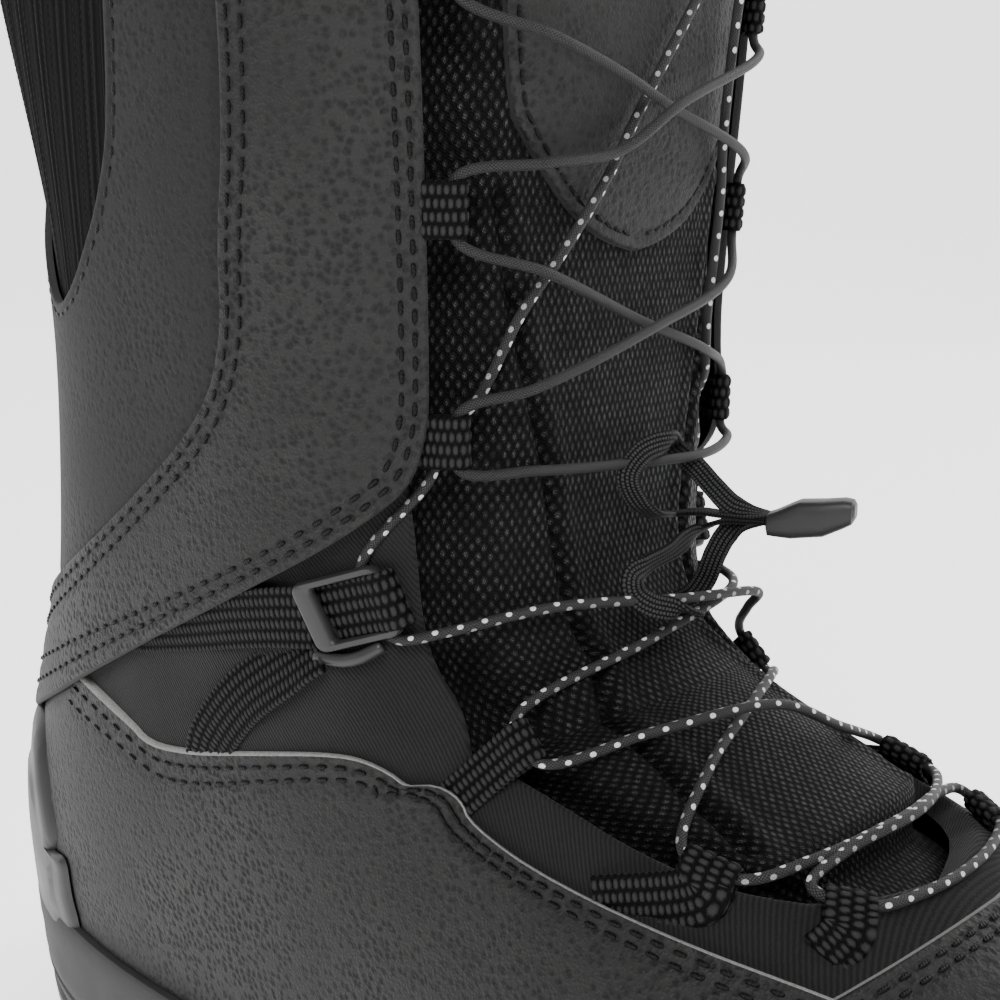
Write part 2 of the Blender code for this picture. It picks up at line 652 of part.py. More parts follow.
def lock_points(frame, across, inward):
    """Run of a lace from the handle through its lock, or back."""
    stops = [HANDLE_AT + HANDLE[1] + GAP, -LOCK_HALF - 0.002, -0.004, 0.006, LOCK_HALF + 0.002]
    run = [frame.at(a, across, LACE_OUT) for a in stops]
    return run if inward else list(reversed(run))


def upper_route(frame):
    cuff = CUFF_LOOPS
    route = lock_points(frame, -LACE_LANE, True)
    route += [(-0.258, 0.92, 0.0048), (-0.17, 0.97, 0.0050), (0.0, 1.0, 0.0050)]
    route += [(0.165, 1.05, 0.0050)]
    route += loop_points(1, cuff["1"])
    route += [(0.14, 1.44, 0.0046), (0.0, 1.60, 0.0060), (-0.14, 1.76, 0.0034)]
    route += loop_points(-1, cuff["2"])
    route += [(-0.14, 2.16, 0.0032), (0.0, 2.40, 0.0014), (0.14, 2.62, 0.0030)]
    route += loop_points(1, cuff["3"])
    route += [(0.14, 3.03, 0.0040), (0.06, 3.06, 0.0056), (-0.02, 3.05, 0.0034)]
    route += [(-0.14, 3.04, 0.0016)]
    route += loop_points(-1, cuff["3"], down=False)
    route += [(-0.15, 2.66, 0.0032), (0.0, 2.42, 0.0036), (0.14, 2.16, 0.0036)]
    route += loop_points(1, cuff["2"], down=False)
    route += [(0.14, 1.76, 0.0042), (0.0, 1.60, 0.0038), (-0.07, 1.52, 0.0044)]
    route += [(-0.14, 1.44, 0.0044)]
    route += loop_points(-1, cuff["1"], down=False)
    route += [(-0.240, 1.03, 0.0022), (-0.275, 0.99, 0.0030)]
    route += lock_points(frame, LACE_LANE, False)
    return route


def lower_route(frame):
    foot = FOOT_LOOPS
    route = lock_points(frame, -LACE_LANE, True)
    route += [(0.270, 0.97, 0.0036), (0.20, 0.96, 0.0028), (0.130, 1.12, 0.0024)]
    route += [(0.125, 1.60, 0.0022), (0.140, 1.90, 0.0015), (0.140, 2.20, 0.0013)]
    route += [(0.135, 2.55, 0.0014), (0.172, 2.74, -0.0002), (0.205, 2.84, -0.0021)]
    route += [(0.226, 2.97, -0.0019), (0.245, 3.12, -0.0010)]
    route += [(0.290, 3.50, -0.0010), (0.276, 3.80, -0.0010), (0.266, 4.08, -0.0010)]
    route += [(0.150, 4.02, 0.0020), (0.060, 4.05, 0.0050), (-0.04, 4.52, 0.0014)]
    route += loop_points(-1, foot["1"])
    route += [(-0.12, 5.90, 0.0016), (0.0, 6.14, 0.0036), (0.12, 6.60, 0.0012)]
    route += loop_points(1, foot["2"])
    route += [(0.20, 7.42, 0.0014), (0.0, 7.48, 0.0034), (-0.15, 7.48, 0.0014)]
    route += [(-0.245, 7.56, 0.0018)]
    route += loop_points(-1, foot["3"])
    route += [(-0.215, 7.93, 0.0018), (-0.08, 8.02, 0.0014), (0.08, 8.02, 0.0014)]
    route += [(0.215, 7.93, 0.0018)]
    route += loop_points(1, foot["3"], down=False)
    route += [(0.245, 7.56, 0.0018), (0.15, 7.48, 0.0014), (0.0, 7.48, 0.0014)]
    route += [(-0.20, 7.42, 0.0014)]
    route += loop_points(-1, foot["2"], down=False)
    route += [(-0.12, 6.42, 0.0012), (0.0, 6.02, 0.0012), (0.11, 5.84, 0.0012)]
    route += loop_points(1, foot["1"], down=False)
    route += [(0.110, 4.42, 0.0044), (0.04, 3.98, 0.0076), (-0.05, 3.90, 0.0036)]
    route += [(-0.13, 3.88, 0.0015)]
    route += [(-0.266, 4.08, -0.0010), (-0.276, 3.80, -0.0010), (-0.290, 3.50, -0.0010)]
    route += [(-0.245, 3.12, -0.0010), (-0.226, 2.97, -0.0019), (-0.205, 2.84, -0.0021)]
    route += [(-0.172, 2.60, -0.0002), (-0.112, 2.09, 0.0016), (-0.075, 1.85, 0.0024)]
    route += [(-0.045, 1.60, 0.0022), (0.04, 1.25, 0.0026), (0.12, 0.88, 0.0026)]
    route += [(0.21, 0.84, 0.0034), (0.258, 0.90, 0.0042)]
    route += lock_points(frame, LACE_LANE, False)
    return route


LONG_STEP = 0.09  # a longer step in s gets a stop at its middle


def make_lace(name, route, finish):
    """Cord through a route of places on the boot, or of points."""
    stops = []
    for here, then in zip(route, route[1:] + route[-1:], strict=True):
        stops.append(here if isinstance(here, Vector) else place(*here))
        on_boot = not (isinstance(here, Vector) or isinstance(then, Vector))
        if on_boot and abs(then[0] - here[0]) > LONG_STEP:
            stops.append(place(*((a + b) / 2 for a, b in zip(here, then, strict=True))))
    curve = bpy.data.curves.new(name, "CURVE")
    curve.dimensions = "3D"
    curve.bevel_depth = LACE_R
    curve.bevel_resolution = 2
    curve.use_fill_caps = True
    line = curve.splines.new("POLY")
    line.points.add(len(stops) - 1)
    for slot, p in zip(line.points, stops, strict=True):
        slot.co = (*p, 1.0)
    return link(name, curve, finish)


# ---------------------------------------------------------------- pull tab
TAB_HALF = 0.0034
TAB_WEB = 0.0005  # half the thickness of the tape
TAB_LOOPS = {  # centre, heading of the long way, and half sizes
    "upper": ((0.0115, 0.0084), 0.70, (0.0108, 0.0044)),
    "lower": ((0.0161, -0.0082), -1.00, (0.0078, 0.0054)),
}


def make_pull_tab():
    """Two tape loops round the laces, joined in a moulded tip."""
    s, v = TAB_SURFACE
    foot = place(s, v)
    way = Vector((cos(TAB_HEADING), sin(TAB_HEADING), 0.0))
    width = Vector((-way.y, way.x, 0.0))
    up = Vector((0.0, 0.0, 1.0))

    def at(a, b, w):
        return foot + way * a + up * b + width * w

    def loop_ring(shape, grow, w):
        (ca, cb), turn, (long, short) = shape
        ring = []
        for i in range(20):
            x = (long + grow) * cos(2 * pi * i / 20)
            z = (short + grow) * sin(2 * pi * i / 20)
            a = ca - x * cos(turn) - z * sin(turn)
            b = cb + x * sin(turn) - z * cos(turn)
            ring.append(at(a, b, w))
        return ring

    pieces = []
    for name, shape in TAB_LOOPS.items():
        outer = [loop_ring(shape, TAB_WEB, w) for w in (-TAB_HALF, TAB_HALF)]
        inner = [loop_ring(shape, -TAB_WEB, w) for w in (-TAB_HALF, TAB_HALF)]
        pieces.append(hollow(f"pull_tab_loop_{name}", outer, inner, "webbing"))
    profile = [(0.0214, -0.0011), (0.0235, -0.0013), (0.0250, -0.0024), (0.0385, -0.0024)]
    profile += [(0.0385, 0.0020), (0.0365, 0.0027), (0.0255, 0.0027), (0.0235, 0.0013)]
    profile += [(0.0214, 0.0011)]
    rings = [[at(a, b, w) for a, b in profile] for w in (-TAB_HALF, TAB_HALF)]
    pieces.append(prism("pull_tab_tip", rings, "rubber", smooth=False))
    carry(hinge_parent("pull_tab_hinge", at(*TAB_AXIS, 0.0)), pieces)


# ---------------------------------------------------------------- rear pull loop
REAR_LOOP_HALF = 0.011
REAR_LOOP_T = 0.0016


def make_rear_loop():
    """Tape loop that stands up behind the collar, for pulling the boot on."""
    low, high = place(-1.0, 1.1, 0.0016), place(-1.0, 0.55, 0.0018)
    top = high + Vector((0.001, 0.0, 0.046))
    path = [low, high, high + Vector((-0.009, 0.0, 0.014)), top + Vector((-0.006, 0.0, -0.010))]
    path += [top + Vector((0.001, 0.0, -0.002)), top + Vector((0.006, 0.0, -0.010))]
    path += [high + Vector((0.0055, 0.0, 0.023))]
    sides = []
    for i, p in enumerate(path):
        a, b = path[max(i - 1, 0)], path[min(i + 1, len(path) - 1)]
        way = (b - a).normalized()
        sides.append((p, Vector((-way.z, 0.0, way.x)) * (REAR_LOOP_T / 2)))
    profile = [p + n for p, n in sides] + [p - n for p, n in reversed(sides)]
    shift = Vector((0.0, REAR_LOOP_HALF, 0.0))
    prism("rear_pull_loop", [[p - shift for p in profile], [p + shift for p in profile]], "webbing")


# ---------------------------------------------------------------- liner and footbed
SOCK_ROWS = [0, 0.8, 1.6, 2.4, 3.1, 3.7, 4.2, 4.7, 5.1, 5.5, 5.9, 6.4, 7, 7.7, 8.5, 9.3, 10.1]
SOCK_ROWS += [10.8, 11.4, LAST_V]
SOCK_COLUMNS = 9
SLIT = (0.150, 5.0)  # half width in s and lower end in v of the liner's front opening


def sock_outline():
    half = [(-SLIT[0], 0.0), (-SLIT[0], SLIT[1]), (0.0, SLIT[1] + 0.5), (0.0, LAST_V)]
    return half + [(-1.0, LAST_V), (-1.0, 0.0)]


def make_liner():
    """Padded inner boot, open at the collar and along its front."""
    wall = panel(
        "liner",
        both_sides(sock_outline()),
        Layer(LINER[0], LINER_FLOOR_Z),
        Layer(LINER[1], LINER_Z),
        "foam",
    )
    slit = SLIT[0] - 0.010
    half = [(0.0, 0.0), (-slit, 0.0), (-slit, SLIT[1] - 0.1), (0.0, SLIT[1] + 0.30)]
    layer_panel("liner_tongue", both_sides(half), LINER, "foam")
    sole = plan_ring(LINER[0] - 0.0030, 40, LINER_Z)
    top = [Vector((p.x, p.y, LINER_FLOOR_Z - 0.0002)) for p in sole]
    prism("liner_sole", [sole, top], "foam")
    bed = plan_ring(LINER[0] - 0.0050, 40, LINER_FLOOR_Z + GAP)
    lift = Vector((0.0, 0.0, FOOTBED_H))
    prism("footbed", [bed, [p + lift for p in bed]], "foam")
    return wall


# ---------------------------------------------------------------- sole
def plan_ring(level, count, z):
    """The boot's plan at the feather line, grown by a level, evenly spaced."""
    layer = Layer(level)
    fine = np.linspace(4.8, LAST_V, 400)
    lateral, medial = layer(-1.0, fine), layer(1.0, fine)
    loop = np.vstack([lateral, medial[::-1]])
    loop = loop[loop[:, 2] < FEATHER_Z + 0.0005][:, :2]
    step = np.linalg.norm(np.diff(loop, axis=0, append=loop[:1]), axis=1)
    run = np.concatenate([[0], np.cumsum(step)])
    at = np.linspace(0, run[-1], count, endpoint=False)
    closed = np.vstack([loop, loop[:1]])
    return [
        Vector((x, y, z))
        for x, y in zip(*(np.interp(at, run, closed[:, i]) for i in (0, 1)), strict=True)
    ]


def cut(piece, cutter):
    cutter.hide_render = True
    cutter.display_type = "WIRE"
    made = piece.modifiers.new("cut", "BOOLEAN")
    made.object = cutter


def box(bm, low, high):
    """One axis-aligned box in a bmesh."""
    made = bmesh.ops.create_cube(bm, size=1.0)["verts"]
    for vert in made:
        vert.co = [a + (b - a) * (c + 0.5) for a, b, c in zip(low, high, vert.co, strict=True)]


def make_sole():
    outsole = prism(
        "outsole",
        [plan_ring(0.0016, 56, z) for z in (0.0, OUTSOLE_H)],
        "rubber",
    )
    grooves = bmesh.new()
    for x in (-0.132, -0.112, -0.092, 0.018, 0.038, 0.058, 0.078, 0.098, 0.118):
        box(grooves, (x, -0.09, -0.01), (x + GROOVE_W, 0.09, GROOVE_D))
    box(grooves, (-0.072, -0.09, -0.01), (-0.002, 0.09, 0.0025))
    cut(outsole, solid("groove_cutter", grooves, "rubber", smooth=False))
    flares = ((OUTSOLE_H + GAP, 0.0016), (0.016, 0.0030), (0.024, 0.0026), (MIDSOLE_TOP, 0.0012))
    midsole = prism("midsole", [plan_ring(level, 56, z) for z, level in flares], "foam")
    shank_low, shank_high = (-0.075, -0.016, 0.0275), (0.045, 0.016, 0.0290)
    recess = bmesh.new()
    box(recess, [c - GAP for c in shank_low], (0.045 + GAP, 0.016 + GAP, 0.05))
    cut(midsole, solid("shank_recess", recess, "foam", smooth=False))
    shank = bmesh.new()
    box(shank, shank_low, shank_high)
    solid("shank", shank, "steel", smooth=False)
    board = plan_ring(COUNTER[0], 48, FEATHER_Z + GAP)
    lift = Vector((0.0, 0.0, BOARD_H))
    prism("lasting_board", [board, [p + lift for p in board]], "board")


def make_cuff_hinge():
    """Empty on the ankle axis, which carries everything that bends with the shin."""
    names = ("cuff_", "achilles_", "lace_lock_base", "lace_lock_pin", "lace_handle")
    names += ("rear_pull_loop", "tongue_patch", "upper_lace", "lock_hinge", "pull_tab_hinge")
    pieces = [thing for thing in bpy.data.objects if thing.name.startswith(names)]
    carry(hinge_parent("ankle_flex_hinge", FLEX_AXIS), pieces)


clear_scene()
make_sole()
make_upper()
make_tongue()
make_ankle_harness()
make_loops()
locks = {side: make_lock(side, sign) for side, sign in (("lateral", -1), ("medial", 1))}
make_lace("upper_lace", upper_route(locks["lateral"]), "lace_plain")
make_lace("lower_lace", lower_route(locks["medial"]), "lace_fleck")
make_pull_tab()
make_rear_loop()
make_liner()
make_cuff_hinge()
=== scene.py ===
"""Looks of the snowboard boot: fine leather, fabric, webbing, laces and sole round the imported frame."""

import json
from math import cos, pi, radians, sin

import bmesh
import bpy
import numpy as np
from mathutils import Matrix, Vector
from mathutils.geometry import delaunay_2d_cdt

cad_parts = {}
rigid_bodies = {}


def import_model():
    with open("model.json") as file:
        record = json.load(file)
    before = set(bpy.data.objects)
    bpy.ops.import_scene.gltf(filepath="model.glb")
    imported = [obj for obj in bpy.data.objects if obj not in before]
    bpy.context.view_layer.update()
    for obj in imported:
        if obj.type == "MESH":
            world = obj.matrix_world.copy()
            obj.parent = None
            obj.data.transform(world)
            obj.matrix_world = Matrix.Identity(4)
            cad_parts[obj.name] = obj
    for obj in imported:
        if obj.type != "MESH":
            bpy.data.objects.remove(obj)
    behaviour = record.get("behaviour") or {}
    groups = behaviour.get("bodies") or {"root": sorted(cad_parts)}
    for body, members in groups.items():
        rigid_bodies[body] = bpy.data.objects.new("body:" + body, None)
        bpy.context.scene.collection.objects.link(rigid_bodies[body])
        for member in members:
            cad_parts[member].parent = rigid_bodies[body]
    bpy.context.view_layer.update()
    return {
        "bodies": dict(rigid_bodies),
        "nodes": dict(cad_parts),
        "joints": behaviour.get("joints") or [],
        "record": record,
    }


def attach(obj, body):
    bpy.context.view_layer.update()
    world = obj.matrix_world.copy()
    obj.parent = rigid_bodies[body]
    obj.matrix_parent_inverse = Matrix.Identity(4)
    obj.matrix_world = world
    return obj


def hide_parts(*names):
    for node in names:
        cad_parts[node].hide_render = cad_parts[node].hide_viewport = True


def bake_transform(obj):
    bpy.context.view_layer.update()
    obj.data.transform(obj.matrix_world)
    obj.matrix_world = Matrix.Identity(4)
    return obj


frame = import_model()

MM = 0.001
FEATHER_Z = 0.030
TOE_X = 0.150
LAST_X = 0.003


# ---------------------------------------------------------------- camera
CAMERA_AT = (0.1648, -0.2015, 0.1854)
CAMERA_AZIMUTH = radians(42.085)
CAMERA_DOWN = radians(11.233)
CAMERA_ROLL = radians(0.2376)
CAMERA_LENS = 53.83


def make_camera():
    """Camera at the viewing angle, close in on the ankle from the front of its outer side."""
    data = bpy.data.cameras.new("camera")
    data.lens = CAMERA_LENS
    data.sensor_width = 36.0
    data.clip_start = 0.01
    camera = bpy.data.objects.new("camera", data)
    bpy.context.scene.collection.objects.link(camera)
    az, el = CAMERA_AZIMUTH, CAMERA_DOWN
    ahead = Vector((-sin(az) * cos(el), cos(az) * cos(el), -sin(el)))
    right = Vector((cos(az), sin(az), 0.0))
    up = right.cross(ahead)
    turn = Matrix.Rotation(CAMERA_ROLL, 3, ahead)
    right, up = turn @ right, turn @ up
    camera.matrix_world = Matrix(
        (
            (right.x, up.x, -ahead.x, CAMERA_AT[0]),
            (right.y, up.y, -ahead.y, CAMERA_AT[1]),
            (right.z, up.z, -ahead.z, CAMERA_AT[2]),
            (0, 0, 0, 1),
        )
    )
    bpy.context.scene.camera = camera


# ---------------------------------------------------------------- the boot's form, as in the CAD
def unit(vectors):
    return vectors / np.linalg.norm(vectors, axis=-1, keepdims=True)


def cubic_through(knots):
    """Natural cubic spline through (t, value) knots, held constant past its ends."""
    t, y = (np.array(column, float) for column in zip(*knots, strict=True))
    h = np.diff(t)
    system, right = np.eye(len(t)), np.zeros(len(t))
    for i in range(1, len(t) - 1):
        system[i, i - 1 : i + 2] = h[i - 1], 2 * (h[i - 1] + h[i]), h[i]
        right[i] = 6 * ((y[i + 1] - y[i]) / h[i] - (y[i] - y[i - 1]) / h[i - 1])
    bend = np.linalg.solve(system, right)

    def value(at):
        at = np.clip(np.asarray(at, float), t[0], t[-1])
        i = np.clip(np.searchsorted(t, at) - 1, 0, len(t) - 2)
        a = (t[i + 1] - at) / h[i]
        b = 1 - a
        curve = ((a**3 - a) * bend[i] + (b**3 - b) * bend[i + 1]) * h[i] ** 2 / 6
        return a * y[i] + b * y[i + 1] + curve

    return value


# the shaft, by height: back line, front line and half width
SHAFT_BACK = cubic_through(
    [(0.0, -0.1510), (0.030, -0.1530), (0.055, -0.1510), (0.080, -0.1425), (0.105, -0.1325)]
    + [(0.140, -0.1230), (0.170, -0.1200), (0.205, -0.1260), (0.235, -0.1340), (0.300, -0.1430)]
)
SHAFT_FRONT = cubic_through(
    [(0.0, 0.035), (0.030, 0.030), (0.080, 0.020), (0.110, 0.012), (0.140, 0.010)]
    + [(0.170, 0.010), (0.205, 0.012), (0.245, 0.015), (0.320, 0.022)]
)
SHAFT_HALF = cubic_through(
    [(0.0, 0.044), (0.030, 0.0450), (0.055, 0.0475), (0.080, 0.0490), (0.105, 0.0500)]
    + [(0.140, 0.0525), (0.170, 0.0545), (0.205, 0.0580), (0.250, 0.0610), (0.320, 0.063)]
)
# the foot, by length: half width, centre line and height of the ridge
FOOT_HALF = cubic_through(
    [(-0.150, 0.036), (-0.110, 0.038), (-0.060, 0.0400), (-0.010, 0.0455), (0.040, 0.0530)]
    + [(0.070, 0.0560), (0.100, 0.0550), (0.130, 0.050), (TOE_X, 0.045)]
)
FOOT_MIDDLE = cubic_through(
    [(-0.150, 0.0), (-0.060, 0.0), (0.0, -0.001), (0.060, 0.0), (0.110, 0.005), (TOE_X, 0.012)]
)
FOOT_RIDGE = cubic_through(
    [(-0.150, 0.122), (-0.05, 0.120), (0.0, 0.1150), (0.022, 0.1095), (0.036, 0.1030)]
    + [(0.052, 0.0955), (0.070, 0.0875), (0.092, 0.0790), (0.115, 0.0718), (0.135, 0.066)]
    + [(TOE_X, 0.063)]
)
TOE_START, HEEL_START, HEEL_ROUND = 0.072, -0.060, 0.060
SHAFT_SCALE, FOOT_SCALE, BLEND = 0.055, 0.050, 0.013


def boot_field(p):
    """About the distance outside the boot's reference surface, negative inside."""
    x, y, z = p[..., 0] - LAST_X, p[..., 1], p[..., 2]
    back, front, half = SHAFT_BACK(z), SHAFT_FRONT(z), SHAFT_HALF(z)
    along = (2 * x - back - front) / (front - back)
    power = 2.5 + 0.35 * np.tanh(along * 2)
    ring = (np.abs(along) ** power + np.abs(y / half) ** power) ** (1 / power)
    shaft = (ring - 1) * SHAFT_SCALE
    toe = np.clip((x - TOE_START) / (TOE_X - TOE_START), 0, None)
    heel = np.clip((HEEL_START - x) / HEEL_ROUND, 0, None)
    plan = np.abs((y - FOOT_MIDDLE(x)) / FOOT_HALF(x)) ** 2.3 + (toe + heel) ** 2.4
    rise = np.clip(z - FEATHER_Z, 0, None) / (FOOT_RIDGE(x) - FEATHER_Z)
    foot = ((plan + rise**2) ** (1 / 2.15) - 1) * FOOT_SCALE
    mix = np.clip(0.5 + 0.5 * (shaft - foot) / BLEND, 0, 1)
    return shaft * (1 - mix) + foot * mix - BLEND * mix * (1 - mix)


# the spine that the surface is measured from, one knot for each whole v
SPINE_X = [-0.060, -0.059, -0.057, -0.056, -0.056, -0.050, -0.036]
SPINE_X += [-0.008, 0.030, 0.070, 0.105, 0.130, 0.153]
SPINE_Z = [0.272, 0.225, 0.180, 0.142, 0.112, 0.088, 0.070]
SPINE_Z += [0.060, 0.054, 0.050, 0.046, 0.042, 0.0345]
FRONT_ANGLE = [10, 6, 2, 2, 6, 18, 26, 31, 38, 50, 61, 63, 40]
BACK_ANGLE = [190, 186, 182, 183, 188, 197, 207, 235, 262, 270, 270, 270, 270]
spine_x, spine_z, front_angle, back_angle = (
    cubic_through(list(enumerate(row))) for row in (SPINE_X, SPINE_Z, FRONT_ANGLE, BACK_ANGLE)
)
LAST_V = len(SPINE_X) - 1
TOE_V = 8
REACH = 0.25


def spine(v):
    return np.stack([spine_x(v) + LAST_X, 0 * v, spine_z(v)], -1)


def ray(turn, v):
    """Direction from the spine; turn is 0 at the front, -1 or 1 at the back."""
    c, s = 1.3 * np.cos(pi * turn), np.sin(pi * turn)
    c, s = c / np.hypot(c, s), s / np.hypot(c, s)
    front, back = np.radians(front_angle(v)), np.radians(back_angle(v))
    fore = np.where(c > 0, np.cos(front), -np.cos(back))
    up = np.where(c > 0, np.sin(front), -np.sin(back))
    return np.stack([c * fore, s, c * up], -1)


def ray_hit(turn, v, level):
    """Where the ray leaves the body at a level, by halving."""
    turn, v, level = np.broadcast_arrays(*(np.asarray(a, float) for a in (turn, v, level)))
    start, way = spine(v), ray(turn, v)
    low, high = np.zeros(v.shape), np.full(v.shape, REACH)
    for _ in range(24):
        middle = (low + high) / 2
        inside = boot_field(start + way * middle[..., None]) < level
        low, high = np.where(inside, middle, low), np.where(inside, high, middle)
    return start + way * ((low + high) / 2)[..., None]


class Layer:
    """One level of the boot as a surface over (s, v), down to the height bottom."""

    def __init__(self, level, bottom=FEATHER_Z):
        self.level = level
        fine = np.linspace(TOE_V, LAST_V, 801)
        outside = np.flatnonzero(boot_field(spine(fine)) > level)
        self.tip = fine[outside[0]] if len(outside) else float(LAST_V)
        self.v = np.linspace(0, LAST_V, 241)
        self.lateral, self.medial = (self.lowest_turn(side, bottom) for side in (-1, 1))

    def lowest_turn(self, side, bottom):
        """How far round the surface stays above the bottom, for each v on one side."""
        low, high = np.full(self.v.shape, 0.5), np.ones(self.v.shape)
        for _ in range(26):
            middle = (low + high) / 2
            above = ray_hit(side * middle, self.v, self.level)[..., 2] > bottom
            low, high = np.where(above, middle, low), np.where(above, high, middle)
        return np.where(high > 0.99999, 1.0, low)

    def __call__(self, s, v, level=None):
        s, v = np.broadcast_arrays(np.asarray(s, float), np.asarray(v, float))
        s = np.where(s < -1 - 1e-6, s + 2, s)
        toe = TOE_V + (v - TOE_V) / (LAST_V - TOE_V) * (self.tip - TOE_V)
        v = np.where(v <= TOE_V, v, toe)
        lateral, medial = (np.interp(v, self.v, turn) for turn in (self.lateral, self.medial))
        turn = s * np.where(s < 0, lateral, medial)
        return ray_hit(turn, v, self.level if level is None else level)


SKIN = Layer(0.0)
THROAT = [(0.0, 0.235), (3.9, 0.235), (5.24, 0.211), (6.29, 0.262), (6.86, 0.297)]
THROAT += [(7.4, 0.310), (7.9, 0.250), (8.12, 0.0)]


def throat(v):
    """Half width of the lacing opening, in s."""
    return np.interp(v, *zip(*THROAT, strict=True))


def outward(points):
    """Unit normals of the boot's surface near some points."""
    points = np.asarray(points, float)
    step = 1e-5 * np.eye(3)
    slope = np.stack([boot_field(points + e) - boot_field(points - e) for e in step], -1)
    return unit(slope)


def place(s, v, level=0.0):
    return Vector(SKIN(s, v, level))


# flat pattern of the upper, in metres: x grows with s and y with v
PATTERN_V = np.linspace(0, LAST_V, 121)
_side = SKIN(-0.3, PATTERN_V)
PATTERN_Y = np.concatenate([[0], np.cumsum(np.linalg.norm(np.diff(_side, axis=0), axis=1))])
_rings = SKIN(np.linspace(0, -0.6, 25)[None, :], PATTERN_V[:, None])
PATTERN_X = np.linalg.norm(np.diff(_rings, axis=1), axis=2).sum(1) / 0.6
PATTERN_X = np.maximum(PATTERN_X, 0.03)


def flatten(places):
    s, v = np.asarray(places, float).T
    return np.stack([s * np.interp(v, PATTERN_V, PATTERN_X), np.interp(v, PATTERN_V, PATTERN_Y)], -1)


def unflatten(points):
    x, y = np.asarray(points, float).T
    v = np.interp(y, PATTERN_Y, PATTERN_V)
    return np.stack([x / np.interp(v, PATTERN_V, PATTERN_X), v], -1)


# ---------------------------------------------------------------- materials
def new_material(name, color, rough, **sockets):
    made = bpy.data.materials.new(name)
    made.use_nodes = True
    shader = made.node_tree.nodes["Principled BSDF"]
    shader.inputs["Base Color"].default_value = (*color, 1.0)
    shader.inputs["Roughness"].default_value = rough
    for socket, value in sockets.items():
        shader.inputs[socket.replace("_", " ")].default_value = value
    made.diffuse_color = (*color, 1.0)
    return made


class Nodes:
    """Short way to add nodes to a material and to wire them."""

    def __init__(self, made):
        self.tree = made.node_tree
        self.shader = self.tree.nodes["Principled BSDF"]

    def add(self, kind, inputs=None, **settings):
        node = self.tree.nodes.new("ShaderNode" + kind)
        for key, value in settings.items():
            setattr(node, key, value)
        for key, value in (inputs or {}).items():
            if isinstance(value, bpy.types.NodeSocket):
                self.tree.links.new(value, node.inputs[key])
            else:
                node.inputs[key].default_value = value
        return node

    def math(self, operation, *values):
        return self.add("Math", dict(enumerate(values)), operation=operation).outputs[0]

    def ramp(self, value, stops):
        node = self.add("ValToRGB", {"Fac": value})
        elements = node.color_ramp.elements
        while len(elements) < len(stops):
            elements.new(0.5)
        for element, (at, color) in zip(elements, stops, strict=True):
            element.position = at
            element.color = (*color, 1.0) if len(color) == 3 else color
        return node.outputs["Color"]

    def grays(self, value, tone, *stops):
        """Ramp of grey shades; each stop is a place and a share of the tone."""
        return self.ramp(value, [(at, (tone * share,) * 3) for at, share in stops])

    def gray(self, value, low, high, dark=0.0, light=1.0):
        node = self.add(
            "MapRange",
            {"Value": value, "From Min": low, "From Max": high, "To Min": dark, "To Max": light},
        )
        return node.outputs[0]

    def space(self, scale=(1, 1, 1), turn=(0, 0, 0), uv=False):
        coords = self.add("TexCoord").outputs["UV" if uv else "Object"]
        inputs = {"Vector": coords, "Scale": scale, "Rotation": turn}
        return self.add("Mapping", inputs).outputs[0]

    def noise(self, scale, detail, at=None, output=0):
        at = self.space() if at is None else at
        return self.add("TexNoise", {"Vector": at, "Scale": scale, "Detail": detail}).outputs[output]

    def mix(self, factor, a, b):
        node = self.add("Mix", data_type="RGBA")
        for socket, value in ((node.inputs[0], factor), (node.inputs[6], a), (node.inputs[7], b)):
            if isinstance(value, bpy.types.NodeSocket):
                self.tree.links.new(value, socket)
            else:
                socket.default_value = value
        return node.outputs[2]

    def color(self, socket):
        self.tree.links.new(socket, self.shader.inputs["Base Color"])

    def rough(self, socket):
        self.tree.links.new(socket, self.shader.inputs["Roughness"])

    def bump(self, heights, strength=1.0):
        """Chain of bumps: (height socket, distance in metres) pairs."""
        normal = None
        for height, distance in heights:
            inputs = {"Height": height, "Distance": distance, "Strength": strength}
            if normal is not None:
                inputs["Normal"] = normal
            normal = self.add("Bump", inputs).outputs[0]
        self.tree.links.new(normal, self.shader.inputs["Normal"])


def leather(name, tone, grain=1.0, rough=0.55):
    """Pebbled leather: painted shade makes the round pits dark between paler ridges, in uneven patches.
    """
    made = new_material(name, (tone,) * 3, rough, Specular_IOR_Level=0.22)
    n = Nodes(made)
    at = n.space()
    wander = n.noise(500.0, 1.0, at, "Color")
    bent = n.add("VectorMath", {0: wander, 1: (0.0009,) * 3}, operation="MULTIPLY").outputs[0]
    bent = n.add("VectorMath", {0: at, 1: bent}, operation="ADD").outputs[0]
    cells = {"Vector": bent, "Scale": 680.0, "Smoothness": 0.30, "Randomness": 0.9}
    pit = n.add("TexVoronoi", cells, feature="SMOOTH_F1").outputs["Distance"]
    ridge = n.gray(pit, 0.14, 0.58, -0.6, 0.4)
    cells = {"Vector": at, "Scale": 1700.0}
    small = n.add("TexVoronoi", cells, feature="F1").outputs["Distance"]
    small = n.gray(small, 0.6, 0.1)
    patch = n.noise(34.0, 3.0, at)
    press = n.gray(patch, 0.36, 0.62, 0.30)
    pores = n.noise(5200.0, 2.0, at)
    # depth drives both the bump and the colour: painted shade in the pits, paler ridges
    depth = n.math("MULTIPLY", ridge, press)
    shade = n.math("ADD", n.math("MULTIPLY", depth, 0.52 * grain), 0.21 * grain)
    shade = n.math("ADD", shade, n.math("MULTIPLY", pores, 0.35))
    shade = n.math("ADD", shade, n.math("MULTIPLY", small, 0.12))
    dark, light = (tone * 0.55,) * 3, (tone * 1.9, tone * 1.88, tone * 1.84)
    n.color(n.ramp(shade, [(0.20, dark), (0.90, light)]))
    n.rough(n.gray(shade, 0.2, 1.0, rough + 0.12, rough - 0.06))
    n.bump([(depth, 0.00030 * grain), (small, 0.00008 * grain), (pores, 0.00006)])
    return made


